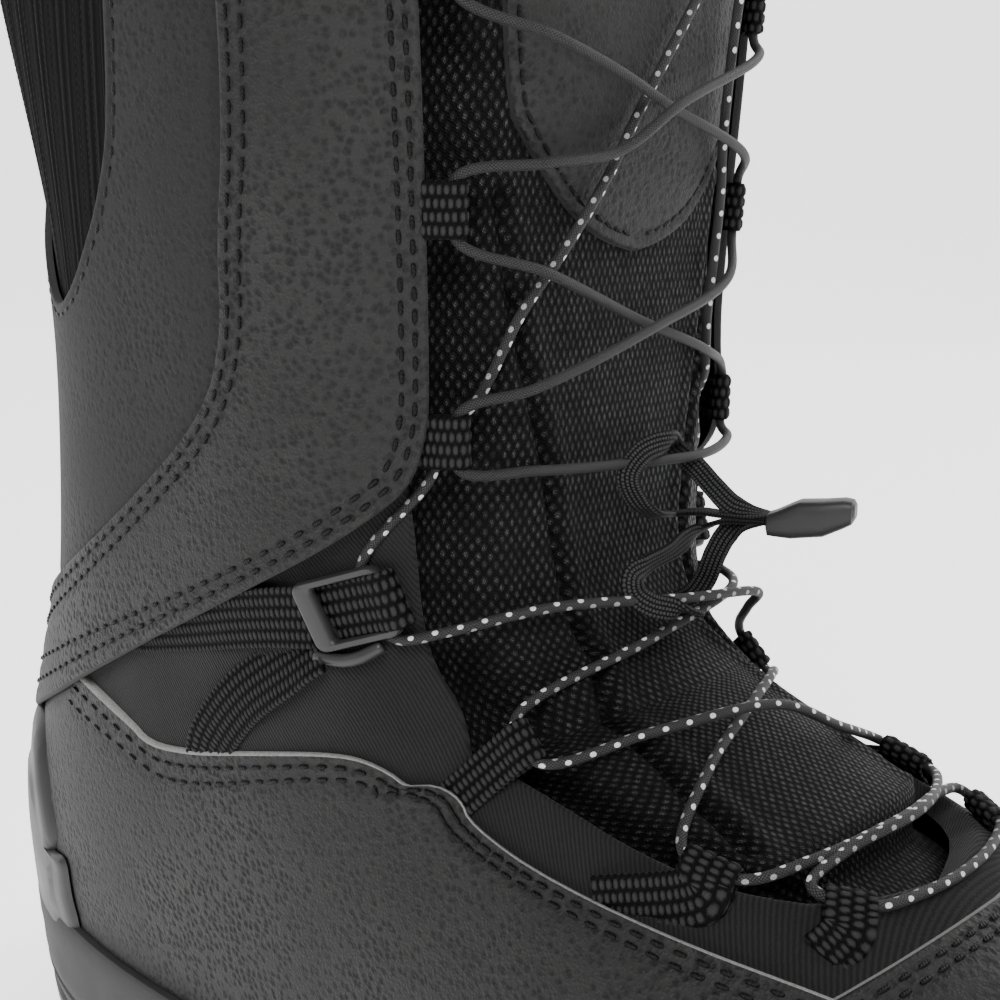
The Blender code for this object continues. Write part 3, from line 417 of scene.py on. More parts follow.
def softshell():
    """Stretch fabric with a fine twill line."""
    tone = 0.010
    made = new_material("softshell", (tone,) * 3, 0.9, Specular_IOR_Level=0.12, Sheen_Weight=0.05)
    n = Nodes(made)
    at = n.space(turn=(0.0, radians(34), 0.0))
    wave = {"Vector": at, "Scale": 520.0, "Distortion": 1.2, "Detail": 1.0, "Detail Scale": 3.0}
    twill = n.add("TexWave", wave, bands_direction="X").outputs["Fac"]
    fuzz = n.noise(2600.0, 3.0, at)
    cloud = n.noise(45.0, 3.0, at)
    shade = n.math("ADD", n.math("MULTIPLY", twill, 0.55), n.math("MULTIPLY", cloud, 0.6))
    n.color(n.grays(shade, tone, (0.15, 0.55), (0.95, 1.7)))
    n.bump([(twill, 0.00012), (fuzz, 0.00008)])
    return made


def spacer_mesh():
    """3-D mesh: staggered glossy knots over a dark ground."""
    made = new_material("spacer_mesh", (0.006,) * 3, 0.6, Specular_IOR_Level=0.15)
    n = Nodes(made)
    at = n.space(scale=(0.80, 0.50, 1.0), turn=(0.0, 0.0, radians(45)), uv=True)
    knots = {"Vector": at, "Scale": 1.0, "Randomness": 0.16}
    cell = n.add("TexVoronoi", knots, feature="F1", voronoi_dimensions="2D")
    knot = n.gray(cell.outputs["Distance"], 0.50, 0.16)
    fine = n.space(scale=(3.1, 2.2, 1.0), turn=(0.0, 0.0, radians(-25)), uv=True)
    yarns = {"Vector": fine, "Scale": 1.0, "Randomness": 0.5}
    yarn = n.add("TexVoronoi", yarns, feature="F1", voronoi_dimensions="2D")
    loop = n.gray(yarn.outputs["Distance"], 0.6, 0.1)
    tint = n.noise(300.0, 2.0)
    shade = n.math("MULTIPLY", knot, n.math("ADD", n.math("MULTIPLY", loop, 0.6), 0.4))
    shade = n.math("MULTIPLY", shade, n.gray(tint, 0.3, 0.7, 0.65, 1.2))
    stops = [(0.05, (0.0014,) * 3), (0.5, (0.012,) * 3), (1.0, (0.076, 0.076, 0.079))]
    n.color(n.ramp(shade, stops))
    n.rough(n.gray(knot, 0.0, 1.0, 0.85, 0.45))
    n.bump([(knot, 0.00050), (loop, 0.00016)])
    return made


def webbing(name, tone):
    """Woven tape: painted highlight on the rib tops and painted shade in the dark gaps between them, by
    the height that its mesh carries.
    """
    made = new_material(name, (tone,) * 3, 0.62, Specular_IOR_Level=0.08)
    n = Nodes(made)
    fibre = n.noise(3800.0, 3.0)
    height = n.add("Attribute", attribute_name="weave").outputs["Fac"]
    yarn = {"Vector": n.space(uv=True), "Scale": 1.1, "Distortion": 0.4}
    lines = n.add("TexWave", yarn, bands_direction="Y").outputs["Fac"]
    # colour by rib height: painted shade in the gaps, painted highlight on the rib tops
    n.color(n.grays(height, tone, (0.15, 0.10), (0.5, 1.5), (0.9, 3.8)))
    n.bump([(lines, 0.00004), (fibre, 0.00010)])
    return made


def braid(name, tone, fleck):
    """Round braid; fleck adds pairs of white yarns that surface at even steps."""
    made = new_material(name, (tone,) * 3, 0.55, Specular_IOR_Level=0.25)
    n = Nodes(made)
    split = n.add("SeparateXYZ", {"Vector": n.space(uv=True)})
    around, along = split.outputs[0], split.outputs[1]
    turns = n.math("MULTIPLY", around, 5.0)
    rise = n.math("MULTIPLY", along, 0.85)
    left = n.math("SINE", n.math("MULTIPLY", n.math("ADD", turns, rise), 2 * pi))
    right = n.math("SINE", n.math("MULTIPLY", n.math("SUBTRACT", turns, rise), 2 * pi))
    diamond = n.math("ABSOLUTE", n.math("MULTIPLY", left, right))
    strand = n.gray(diamond, 0.0, 0.55)
    fuzz = n.noise(4200.0, 2.0)
    cloth = n.grays(strand, tone, (0.0, 0.30), (0.5, 0.9), (1.0, 1.5))
    if fleck:
        for column, shift, white in ((0.10, 0.0, 0.80), (0.86, 0.5, 0.34)):
            across = n.math("SUBTRACT", around, column)
            length = n.math("FRACT", n.math("ADD", n.math("DIVIDE", along, 4.0), shift))
            length = n.math("SUBTRACT", length, 0.5)
            square = n.math("POWER", n.math("DIVIDE", across, 0.085), 2.0)
            other = n.math("POWER", n.math("DIVIDE", length, 0.13), 2.0)
            dot = n.gray(n.math("ADD", square, other), 1.15, 0.75)
            cloth = n.mix(dot, cloth, (white, white, white * 0.99, 1.0))
    n.color(cloth)
    n.bump([(strand, 0.00018), (fuzz, 0.00006)])
    return made


def moulded(name, tone, rough, grit=0.00004):
    """Moulded plastic, rubber or foam with a fine grit."""
    made = new_material(name, (tone,) * 3, rough, Specular_IOR_Level=0.35)
    n = Nodes(made)
    at = n.space()
    fine = n.noise(2400.0, 3.0, at)
    cloud = n.noise(70.0, 4.0, at)
    n.color(n.grays(cloud, tone, (0.3, 0.8), (0.75, 1.25)))
    n.rough(n.gray(cloud, 0.3, 0.7, rough - 0.07, rough + 0.08))
    n.bump([(fine, grit)])
    return made


def thread(name, tone):
    made = new_material(name, (tone,) * 3, 0.5, Specular_IOR_Level=0.15)
    n = Nodes(made)
    wave = {"Vector": n.space(), "Scale": 900.0, "Distortion": 2.0}
    twist = n.add("TexWave", wave, bands_direction="DIAGONAL").outputs["Fac"]
    n.color(n.grays(twist, tone, (0.2, 0.5), (0.9, 1.8)))
    n.bump([(twist, 0.00008)])
    return made


def raw_edge(name, tone):
    """Cut edge of coated leather: pale fibres."""
    made = new_material(name, (tone, tone * 1.02, tone * 0.96), 0.85)
    n = Nodes(made)
    fibre = n.noise(2500.0, 4.0)
    dark, light = tone * 0.7, tone * 1.35
    n.color(n.ramp(fibre, [(0.3, (dark,) * 3), (0.75, (light, light * 1.02, light * 0.97))]))
    n.bump([(fibre, 0.00012)])
    return made


def knit(name, tone, ribs):
    """Knitted or ribbed lining."""
    made = new_material(name, (tone,) * 3, 0.9, Specular_IOR_Level=0.15)
    n = Nodes(made)
    wave = {"Vector": n.space(uv=True), "Scale": ribs, "Distortion": 0.5, "Detail": 1.0}
    rib = n.add("TexWave", wave, bands_direction="X").outputs["Fac"]
    fuzz = n.noise(1800.0, 3.0)
    n.color(n.grays(rib, tone, (0.1, 0.35), (0.9, 1.5)))
    n.bump([(rib, 0.00025), (fuzz, 0.00012)])
    return made


LOOK = {
    "leather": leather("leather", 0.0118),
    "leather_smooth": leather("leather_smooth", 0.0118, 0.4, 0.6),
    "softshell": softshell(),
    "mesh": spacer_mesh(),
    "webbing": webbing("webbing", 0.0068),
    "tape": webbing("tape", 0.010),
    "lace_plain": braid("lace_plain", 0.022, False),
    "lace_fleck": braid("lace_fleck", 0.024, True),
    "rubber": moulded("rubber", 0.018, 0.5),
    "midsole": moulded("midsole", 0.020, 0.7, 0.00008),
    "plastic": moulded("plastic", 0.024, 0.42, 0.00002),
    "thread": thread("thread", 0.003),
    "edge_pale": raw_edge("edge_pale", 0.17),
    "edge_dark": raw_edge("edge_dark", 0.012),
    "lining": knit("lining", 0.018, 0.45),
    "gusset": knit("gusset", 0.0028, 0.28),
    "foam": moulded("foam", 0.04, 0.9, 0.0001),
    "steel": moulded("steel", 0.35, 0.35),
    "board": moulded("board", 0.30, 0.85, 0.0001),
}
LOOK["steel"].node_tree.nodes["Principled BSDF"].inputs["Metallic"].default_value = 1.0


def settle(piece, body, nodes=()):
    """Put a finished piece on the body it moves with, or bake it in place for the flex body, and hide the
    nodes it stands for.
    """
    if body == "flex":
        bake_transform(piece)
    else:
        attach(piece, body)
    if nodes:
        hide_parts(*nodes)
    return piece


def mesh_object(name, points, faces, looks, uv=None, face_look=None, weave=None):
    """Mesh object from numpy points and a list of faces, with UVs in millimetres per point."""
    mesh = bpy.data.meshes.new(f"fine_{name}")
    mesh.from_pydata([tuple(p) for p in points], [], [tuple(f) for f in faces])
    for look in looks:
        mesh.materials.append(LOOK[look])
    if face_look is not None:
        mesh.polygons.foreach_set("material_index", face_look)
    if uv is not None:
        layer = mesh.uv_layers.new(name="UVMap")
        corner = np.zeros(len(mesh.loops), np.int32)
        mesh.loops.foreach_get("vertex_index", corner)
        layer.data.foreach_set("uv", np.asarray(uv, np.float32)[corner].ravel())
    if weave is not None:
        attribute = mesh.attributes.new("weave", "FLOAT", "POINT")
        attribute.data.foreach_set("value", np.asarray(weave, np.float32))
    mesh.shade_smooth()
    made = bpy.data.objects.new(f"fine_{name}", mesh)
    bpy.context.scene.collection.objects.link(made)
    return made


def out_facing(piece):
    bm = bmesh.new()
    bm.from_mesh(piece.data)
    bmesh.ops.recalc_face_normals(bm, faces=bm.faces)
    bm.to_mesh(piece.data)
    bm.free()
    return piece


def skin_rings(rows, sides):
    """Faces of a closed skin over rings of points, with a cap on each end."""
    faces = []
    for r in range(rows - 1):
        for i in range(sides):
            j = (i + 1) % sides
            faces.append((r * sides + i, r * sides + j, (r + 1) * sides + j, (r + 1) * sides + i))
    return faces + [tuple(reversed(range(sides))), tuple(range((rows - 1) * sides, rows * sides))]


def signed_power(value, power):
    """Power that keeps the sign, to square up a round section."""
    return abs(value) ** power * (1 if value > 0 else -1)


# ---------------------------------------------------------------- panels
EDGE_ROWS = (0.22, 0.5, 0.9, 1.4, 2.0, 2.6, 3.2, 3.9, 4.6, 5.3)
SURFACES = {}


def surface(level):
    """The boot's surface with its limits at about a level."""
    key = round(level * 20000)
    if key not in SURFACES:
        SURFACES[key] = Layer(key / 20000)
    return SURFACES[key]


def rounded(corners, rounds=2):
    """Outline with its corners cut round; a corner given as (s, v, True) stays sharp."""
    points = [(c[0], c[1], len(c) > 2) for c in corners]
    for _ in range(rounds):
        cut = []
        for i, (s, v, sharp) in enumerate(points):
            if sharp:
                cut.append((s, v, True))
                continue
            for other in (points[i - 1], points[(i + 1) % len(points)]):
                cut.append((s * 0.75 + other[0] * 0.25, v * 0.75 + other[1] * 0.25, False))
        points = cut
    return [(s, v) for s, v, _ in points]


def flat_line(places, fine=0.02):
    """A line through (s, v) places in the flat pattern, fine enough to follow its bend."""
    line = []
    for a, b in zip(places[:-1], places[1:], strict=True):
        count = max(1, int(max(abs(b[0] - a[0]) * 4, abs(b[1] - a[1])) / fine))
        for k in range(count):
            line.append((a[0] + (b[0] - a[0]) * k / count, a[1] + (b[1] - a[1]) * k / count))
    return flatten(line + [places[-1][:2]])


def run_of(line):
    return np.concatenate([[0], np.cumsum(np.linalg.norm(np.diff(line, axis=0), axis=1))])


def even_line(line, step):
    """Points at an even step along an open line."""
    run = run_of(line)
    count = max(2, round(run[-1] / step) + 1)
    at = np.linspace(0, run[-1], count)
    return np.stack([np.interp(at, run, column) for column in line.T], -1)


def even_outline(corners, step):
    """Flat outline with even points, and which of its sides are seams that get welded."""
    points, welded = [], []
    for a, b in zip(corners, corners[1:] + corners[:1], strict=True):
        side = even_line(flat_line([a, b]), step)[:-1]
        on_seam = (abs(a[0]) > 0.9995 and abs(b[0]) > 0.9995) or (a[0] == 0 and b[0] == 0)
        points.append(side)
        welded += [on_seam] * len(side)
    return np.vstack(points), np.array(welded)


def line_gap(points, line, chunk=1500):
    """Distance from flat points to an open flat line."""
    a, side = line[:-1], np.diff(line, axis=0)
    size = (side**2).sum(1) + 1e-18
    found = []
    for i in range(0, len(points), chunk):
        gap = points[i : i + chunk, None, :] - a[None]
        t = np.clip((gap * side).sum(2) / size, 0, 1)
        found.append(np.linalg.norm(gap - side * t[..., None], axis=2).min(1))
    return np.concatenate(found)


def edge_gap(points, edge, welded=None):
    """Distance from flat points to a closed outline, leaving out its welded sides."""
    ring = np.vstack([edge, edge[:1]])
    if welded is None or not welded.any():
        return line_gap(points, ring)
    found = np.full(len(points), 1.0)
    for i, j in zip(*seam_runs(~welded), strict=True):
        found = np.minimum(found, line_gap(points, ring[i : j + 1]))
    return found


def seam_runs(kept):
    """Starts and ends of the runs of kept sides."""
    change = np.diff(np.concatenate([[0], kept.astype(int), [0]]))
    return np.flatnonzero(change == 1), np.flatnonzero(change == -1)


def is_inside(points, edge, chunk=3000):
    a, b = edge, np.roll(edge, -1, axis=0)
    rise = np.where(b[:, 1] != a[:, 1], b[:, 1] - a[:, 1], 1)
    found = []
    for i in range(0, len(points), chunk):
        x, y = points[i : i + chunk, 0:1], points[i : i + chunk, 1:2]
        crosses = (a[:, 1] > y) != (b[:, 1] > y)
        left = x < a[:, 0] + (b[:, 0] - a[:, 0]) / rise * (y - a[:, 1])
        found.append((crosses & left).sum(1) % 2 == 1)
    return np.concatenate(found)


def pattern_points(edge, cell, rows):
    """Points for one flat piece: its edge, rows beside the edge, and a lattice within."""
    way = np.roll(edge, -1, axis=0) - np.roll(edge, 1, axis=0)
    way /= np.linalg.norm(way, axis=1, keepdims=True) + 1e-12
    area = np.sum(edge[:, 0] * np.roll(edge[:, 1], -1) - np.roll(edge[:, 0], -1) * edge[:, 1])
    inward = np.stack([-way[:, 1], way[:, 0]], -1) * np.sign(area)
    kept = [edge]
    for k, row in enumerate(rows):
        line = (edge + inward * row)[:: 1 if k < 5 else 2]
        kept.append(line[(edge_gap(line, edge) > row * 0.97) & is_inside(line, edge)])
    low, high = edge.min(0), edge.max(0)
    rise = cell * 0.87
    columns = np.arange(int(low[0] / cell) - 1, int(high[0] / cell) + 2)
    grid = np.stack(np.meshgrid(columns, np.arange(int(low[1] / rise), int(high[1] / rise) + 2)), -1)
    grid = grid.reshape(-1, 2).astype(float)
    grid = np.stack([(grid[:, 0] + (grid[:, 1] % 2) / 2) * cell, grid[:, 1] * rise], -1)
    grid = grid[is_inside(grid, edge)]
    clear = (rows[-1] if len(rows) else 0.0) + cell * 0.5
    kept.append(grid[edge_gap(grid, edge) > clear])
    return np.vstack(kept)


def weld(points, faces, reach=2e-5):
    """Merge points that coincide; also gives the first original index of each kept point."""
    keys = np.round(points / reach).astype(np.int64)
    _, origin, remap = np.unique(keys, axis=0, return_index=True, return_inverse=True)
    faces = remap.ravel()[faces]
    a, b, c = faces.T
    faces = faces[(a != b) & (b != c) & (a != c)]
    used = np.unique(faces)
    again = np.full(len(origin), -1)
    again[used] = np.arange(len(used))
    return points[origin[used]], again[faces], origin[used]


def boundary(faces):
    """Directed edges that belong to one face only."""
    edges = np.vstack([faces[:, [0, 1]], faces[:, [1, 2]], faces[:, [2, 0]]])
    _, first, counts = np.unique(np.sort(edges, axis=1), axis=0, return_index=True, return_counts=True)
    return edges[first[counts == 1]]


def panel(
    name, outlines, levels, looks, cell=2.4, rows=EDGE_ROWS, relief=None, lift=None, step=1.3, cut=0.0
):
    """Closed sheet over (s, v) outlines between two levels.

    relief(s, v, edge distance, flat) is added to the outer face and lift(s, v) to both faces.
    The last look goes on the rim, and on the outer face within the distance cut of it.
    """
    inner, outer = levels
    rows = [row * MM for row in rows]
    places, gaps, flats, faces, count = [], [], [], [], 0
    for corners in outlines:
        edge, welded = even_outline(corners, step * MM)
        points = pattern_points(edge, cell * MM, rows)
        loop = [list(range(len(edge)))]
        vectors = [Vector(p) for p in points]
        found, _, triangles, *_ = delaunay_2d_cdt(vectors, [], loop, 1, 1e-9)
        found, triangles = np.array([p[:] for p in found]), np.array(triangles)
        where = unflatten(found)
        for side in (-1.0, 0.0, 1.0):
            near = np.abs(where[:, 0] - side) < 0.003
            where[near, 0] = side
        faces.append(triangles + count)
        places.append(where)
        flats.append(found)
        gaps.append(edge_gap(found, edge, welded))
        count += len(found)
    where, flat, gap = np.vstack(places), np.vstack(flats), np.concatenate(gaps)
    s, v = where.T
    rise = lift(s, v) if lift else np.zeros(len(s))
    extra = relief(s, v, gap, flat) if relief else 0.0
    top = surface(outer)(s, v, outer + rise + extra)
    under = surface(inner)(s, v, inner + rise)
    points, faces, origin = weld(top, np.vstack(faces))
    rim = boundary(faces)
    n = len(points)
    wall = np.stack([rim[:, 1], rim[:, 0], rim[:, 0] + n, rim[:, 1] + n], -1)
    face_list = [*faces.tolist(), *(faces[:, ::-1] + n).tolist(), *wall.tolist()]
    near = gap[origin][faces].mean(1) < cut * MM
    look = [*((len(looks) - 1) * near).tolist(), *([0] * len(faces)), *([len(looks) - 1] * len(wall))]
    uv = np.vstack([flat[origin], flat[origin]]) / MM
    both = np.vstack([points, under[origin]])
    made = mesh_object(name, both, face_list, looks, uv, look)
    made.data.set_sharp_from_angle(angle=radians(50))
    return out_facing(made)


def as_drawn(corners):
    return corners


def mirrored(corners):
    return [(-c[0], *c[1:]) for c in corners]


TURNS = (as_drawn, mirrored)
SIDES = (("lateral", as_drawn), ("medial", mirrored))
SIGNS = {"lateral": -1, "medial": 1}
GROOVE_DEPTH, GROOVE_WIDTH = 0.30, 0.60


def fall_off(gap, reach):
    """From 1 at an edge to 0 at a reach in mm inside it, along a quarter circle."""
    t = np.clip(gap / (reach * MM), 0, 1)
    return 1 - np.sqrt(1 - (1 - t) ** 2)


def edge_relief(reach, drop, rows):
    """Relief with a rounded edge, and a groove along each stitch row, in mm."""

    def relief(s, v, gap, flat):
        height = -drop * MM * fall_off(gap, reach)
        for row in rows:
            height -= GROOVE_DEPTH * MM * np.exp(-(((gap / MM - row) / GROOVE_WIDTH) ** 2))
        return height

    return relief


# ---------------------------------------------------------------- stitches
STITCH_PITCH = 3.5
STITCH_SIZE = (1.05, 0.40, 0.34)  # half length, half width and half height, in mm
STITCH_RINGS = ((-1.0, 0.40), (-0.8, 0.8), (-0.3, 1.0), (0.3, 1.0), (0.8, 0.8), (1.0, 0.40))
STITCH_SIDES = 8


def stitch_template():
    size, points, quads = STITCH_SIZE, [], []
    for along, swell in STITCH_RINGS:
        for i in range(STITCH_SIDES):
            t = 2 * pi * i / STITCH_SIDES
            points.append((along * size[0], cos(t) * swell * size[1], sin(t) * swell * size[2]))
    for r in range(len(STITCH_RINGS) - 1):
        for i in range(STITCH_SIDES):
            a, b = r * STITCH_SIDES + i, r * STITCH_SIDES + (i + 1) % STITCH_SIDES
            quads.append((a, b, b + STITCH_SIDES, a + STITCH_SIDES))
    last = (len(STITCH_RINGS) - 1) * STITCH_SIDES
    quads += [tuple(reversed(range(STITCH_SIDES))), tuple(range(last, last + STITCH_SIDES))]
    return np.array(points) * MM, quads


def stitches(name, lines, level, body, lift=None, pitch=STITCH_PITCH):
    """The stitches of some flat seam lines, each a capsule of thread half sunk in the surface."""
    template, quads = stitch_template()
    points, faces = [], []
    for line in lines:
        if run_of(line)[-1] < 2 * pitch * MM:
            continue
        at = even_line(line, pitch * MM)
        middle = (at[1:] + at[:-1]) / 2
        ends = []
        for side in (-0.3, 0.3):
            s, v = unflatten(middle + (at[1:] - at[:-1]) * side).T
            ends.append(surface(level)(s, v, level + (lift(s, v) if lift else 0 * s)))
        centres, ways = (ends[0] + ends[1]) / 2, unit(ends[1] - ends[0])
        normals = outward(centres)
        sides = unit(np.cross(normals, ways))
        for c, x, y, z in zip(centres, ways, sides, normals, strict=True):
            start = len(points) * len(template)
            points.append(c + template @ np.array([x, y, z]))
            faces += [tuple(start + i for i in q) for q in quads]
    made = mesh_object(name, np.vstack(points), faces, ["thread"])
    settle(out_facing(made), body)


def inset(outline, first, last, offset):
    """Flat line at an offset in mm inside an outline, from one of its corners to another."""
    edge, _ = even_outline(outline, 0.7 * MM)
    ends = [flatten([c[:2]])[0] for c in (first, last)]
    i, j = (int(np.argmin(np.linalg.norm(edge - e, axis=1))) for e in ends)
    run = edge[i : j + 1] if i < j else np.vstack([edge[i:], edge[: j + 1]])
    way = np.gradient(run, axis=0)
    for _ in range(6):
        way[1:-1] = (way[:-2] + way[1:-1] + way[2:]) / 3
    way = unit(way)
    area = np.sum(edge[:, 0] * np.roll(edge[:, 1], -1) - np.roll(edge[:, 0], -1) * edge[:, 1])
    line = run + np.stack([-way[:, 1], way[:, 0]], -1) * np.sign(area) * offset * MM
    clear = edge_gap(line, edge) > offset * MM * 0.92
    return line[clear & is_inside(line, edge)]


# ---------------------------------------------------------------- leather and fabric of the upper
COLLAR_V = 0.35
CUFF_FRONT = [(-0.235, COLLAR_V, True), (-0.235, 1.0), (-0.232, 1.65), (-0.232, 2.66)]
CUFF_FRONT += [(-0.238, 2.86), (-0.247, 3.03), (-0.268, 3.17), (-0.334, 3.49), (-0.446, 3.93)]
CUFF_FRONT += [(-0.543, 4.20), (-0.647, 4.42), (-0.732, 4.57), (-0.86, 4.71), (-1.0, 4.78, True)]
CUFF_BACK = [(-1.0, 4.15, True), (-0.85, 4.05), (-0.70, 3.80), (-0.596, 3.53), (-0.492, 3.12)]
CUFF_BACK += [(-0.415, 2.73), (-0.390, 2.38), (-0.387, 2.07), (-0.368, 1.61), (-0.362, 1.0)]
CUFF_BACK += [(-0.362, COLLAR_V, True)]
CUFF = CUFF_FRONT + CUFF_BACK
GUSSET_EDGE = [(-0.452, COLLAR_V, True), (-0.462, 0.9), (-0.484, 1.56), (-0.517, 1.86)]
GUSSET_EDGE += [(-0.552, 2.06), (-0.582, 2.20), (-0.625, 2.30), (-0.665, 2.22), (-0.70, 2.04)]
GUSSET_EDGE += [(-0.76, 1.80), (-0.80, 1.50), (-0.83, 0.9), (-0.84, COLLAR_V, True)]
BACK_UNDER = [(-0.355, COLLAR_V, True), (-0.355, 1.0), (-0.361, 1.61), (-0.380, 2.07)]
BACK_UNDER += [(-0.383, 2.38), (-0.408, 2.76), (-0.483, 3.16), (-0.586, 3.57), (-0.69, 3.85)]
BACK_UNDER += [(-0.84, 4.10), (-1.0, 4.20, True)]
QUARTER_TOP = [(-0.700, 4.30, True), (-0.643, 4.44), (-0.583, 4.69), (-0.562, 4.86), (-0.50, 4.95)]
QUARTER_TOP += [(-0.414, 5.02), (-0.344, 5.13), (-0.307, 5.29), (-0.283, 5.65), (-0.298, 5.92)]
QUARTER_TOP += [(-0.335, 6.17), (-0.390, 6.86), (-0.42, 7.6), (-0.43, 8.1), (-0.44, 8.5, True)]
QUARTER = QUARTER_TOP + [(-1.0, 8.5, True), (-1.0, 5.95, True), (-0.93, 5.85), (-0.87, 5.72)]
QUARTER += [(-0.82, 5.60), (-0.81, 5.30), (-0.82, 4.95), (-0.83, 4.72), (-0.85, 4.40, True)]
HEEL = [(-1.0, 4.50, True), (-0.87, 4.58), (-0.80, 4.78), (-0.79, 5.0), (-0.785, 5.30)]
HEEL += [(-0.790, 5.60), (-0.840, 5.70), (-0.885, 5.80), (-0.925, 5.90), (-0.958, 6.0)]
HEEL += [(-1.0, 6.10, True)]
CUFF_LOWER_EDGE = [(0.235, 3.1), (0.334, 3.49), (0.446, 3.93), (0.543, 4.2)]
CUFF_LOWER_EDGE += [(0.647, 4.42), (0.86, 4.71), (1.0, 4.78)]
LEATHER_OUT, LEATHER_IN = 0.0012, 0.0
CUFF_ROWS, CUFF_BACK_ROWS, FOOT_ROWS = (2.1, 4.1), (1.6, 3.9), (2.2, 4.3)
GUSSET_ROW, PATCH_ROW = 2.4, 2.3
SHELL_OUT, SHELL_IN = -0.0002, -0.0036
GUSSET_LEVELS = (-0.0035, -0.0018)
GUSSET_MESH = {"cell": 0.85, "rows": (), "step": 0.9}
GUSSET_PITCH = 2.6


def cuff_lift(s, v):
    """The cuff's leather rises over the quarter and the softshell towards its lower edge."""
    edge = np.interp(np.abs(s), *zip(*CUFF_LOWER_EDGE, strict=True))
    t = np.clip(1 - (edge - v) / 0.75, 0, 1)
    return 0.0013 * t * t * (3 - 2 * t) + 0.0004


def make_leather():
    for side, turn in SIDES:
        cuff, quarter = rounded(turn(CUFF)), rounded(turn(QUARTER))
        piece = panel(
            f"cuff_{side}",
            [cuff],
            (LEATHER_IN, LEATHER_OUT),
            ("leather", "edge_dark"),
            relief=edge_relief(0.8, 0.55, CUFF_ROWS),
            lift=cuff_lift,
            cut=0.2,
        )
        settle(piece, "flex", [f"cuff_panel_{side}"])
        front, back = turn(CUFF_FRONT), turn(CUFF_BACK)
        lines = [inset(cuff, front[0], front[-1], row) for row in CUFF_ROWS]
        lines += [inset(cuff, back[0], back[-1], row) for row in CUFF_BACK_ROWS]
        stitches(f"cuff_stitches_{side}", lines, LEATHER_OUT - 0.0001, "flex", cuff_lift)
        piece = panel(
            f"quarter_{side}",
            [quarter],
            (LEATHER_IN - 0.0004, LEATHER_OUT - 0.0003),
            ("leather", "edge_pale"),
            relief=edge_relief(0.55, 0.5, FOOT_ROWS),
            cut=0.55,
        )
        settle(piece, "foot", [f"quarter_{side}"])
        top = turn(QUARTER_TOP)
        lines = [inset(quarter, top[0], top[-1], row) for row in FOOT_ROWS]
        stitches(f"quarter_stitches_{side}", lines, LEATHER_OUT - 0.0004, "foot")
    back = BACK_UNDER[::-1]
    half = rounded([(-1.0, 4.20, True), *back[1:], *GUSSET_EDGE, (-1.0, COLLAR_V, True)])
    piece = panel(
        "cuff_back",
        [half, mirrored(half)],
        (LEATHER_IN - 0.0012, LEATHER_OUT - 0.0010),
        ("leather_smooth", "edge_dark"),
        relief=edge_relief(0.8, 0.5, (GUSSET_ROW,)),
    )
    settle(piece, "flex", ["cuff_back_panel"])
    lines = []
    for turn in TURNS:
        edge = turn(GUSSET_EDGE)
        lines.append(inset(turn(half), edge[0], edge[-1], GUSSET_ROW))
    stitches("cuff_back_stitches", lines, LEATHER_OUT - 0.0012, "flex")


def make_gussets():
    inside = []
    for s, v, *_ in GUSSET_EDGE:
        inside.append((s + (0.016 if s > -0.63 else -0.016), v + (0.10 if 2.0 < v else 0.0)))
    inside[0], inside[-1] = (*inside[0], True), (*inside[-1], True)

    def ribs(s, v, gap, flat):
        wave = 0.5 - 0.5 * np.cos(2 * pi * (flat[:, 0] / MM) / GUSSET_PITCH)
        return 0.0006 * wave**0.7 - 0.0004

    for side, turn in SIDES:
        name = f"achilles_gusset_{side}"
        piece = panel(
            name, [rounded(turn(inside))], GUSSET_LEVELS, ("gusset",), relief=ribs, **GUSSET_MESH
        )
        settle(piece, "flex", [name])


def make_softshell():
    half = [(-0.256, COLLAR_V, True), (-0.256, 2.8), (-0.243, 3.19), (-0.234, 4.07), (-0.211, 5.24)]
    half += [(-0.258, 6.29), (-0.293, 6.86), (-0.305, 7.4), (-0.245, 7.84), (0.0, 8.04, True)]
    half += [(0.0, 11.9, True), (-1.0, 11.9, True), (-1.0, COLLAR_V, True)]
    half = rounded(half)

    def soft(s, v, gap, flat):
        x, y = flat[:, 0] / MM, flat[:, 1] / MM
        waves = np.sin(x * 0.21 + y * 0.09) * np.sin(y * 0.17 - x * 0.05 + 1.0)
        band = np.exp(-(((v - 4.0) / 0.9) ** 2))
        under = np.clip((3.35 - v) / 0.6, 0, 1)
        return 0.0005 * waves * band - 0.0020 * under - 0.0006 * fall_off(gap, 1.2)

    halves = [half, mirrored(half)]
    piece = panel("softshell", halves, (SHELL_IN, SHELL_OUT), ("softshell",), cell=3.0, relief=soft)
    settle(piece, "flex", ["softshell"])


def make_toe_cap():
    half = [(0.0, 8.32, True), (-0.2, 8.30), (-0.44, 8.27), (-0.7, 8.2), (-1.0, 8.12, True)]
    half = rounded([*half, (-1.0, 11.98, True), (0.0, 11.98, True)])
    piece = panel(
        "toe_cap",
        [half, mirrored(half)],
        (LEATHER_IN, LEATHER_OUT + 0.0006),
        ("leather", "edge_pale"),
        relief=edge_relief(0.5, 0.3, FOOT_ROWS),
    )
    settle(piece, "foot", ["toe_cap"])
    lines = []
    for turn in TURNS:
        ends = turn([(0.0, 8.32), (-1.0, 8.12)])
        lines += [inset(turn(half), *ends, row) for row in FOOT_ROWS]
    stitches("toe_stitches", lines, LEATHER_OUT + 0.0005, "foot")


def make_heel_cup():
    half = rounded(HEEL)

    def ridges(s, v, gap, flat):
        ledge = np.clip((gap / MM - 4.5) / 0.8, 0, 1)
        return 0.0005 * ledge - 0.0016 * fall_off(gap, 1.6)

    halves = [half, mirrored(half)]
    piece = panel("heel_cup", halves, (0.0002, 0.0030), ("rubber",), cell=1.4, relief=ridges)
    settle(piece, "foot", ["heel_cup"])


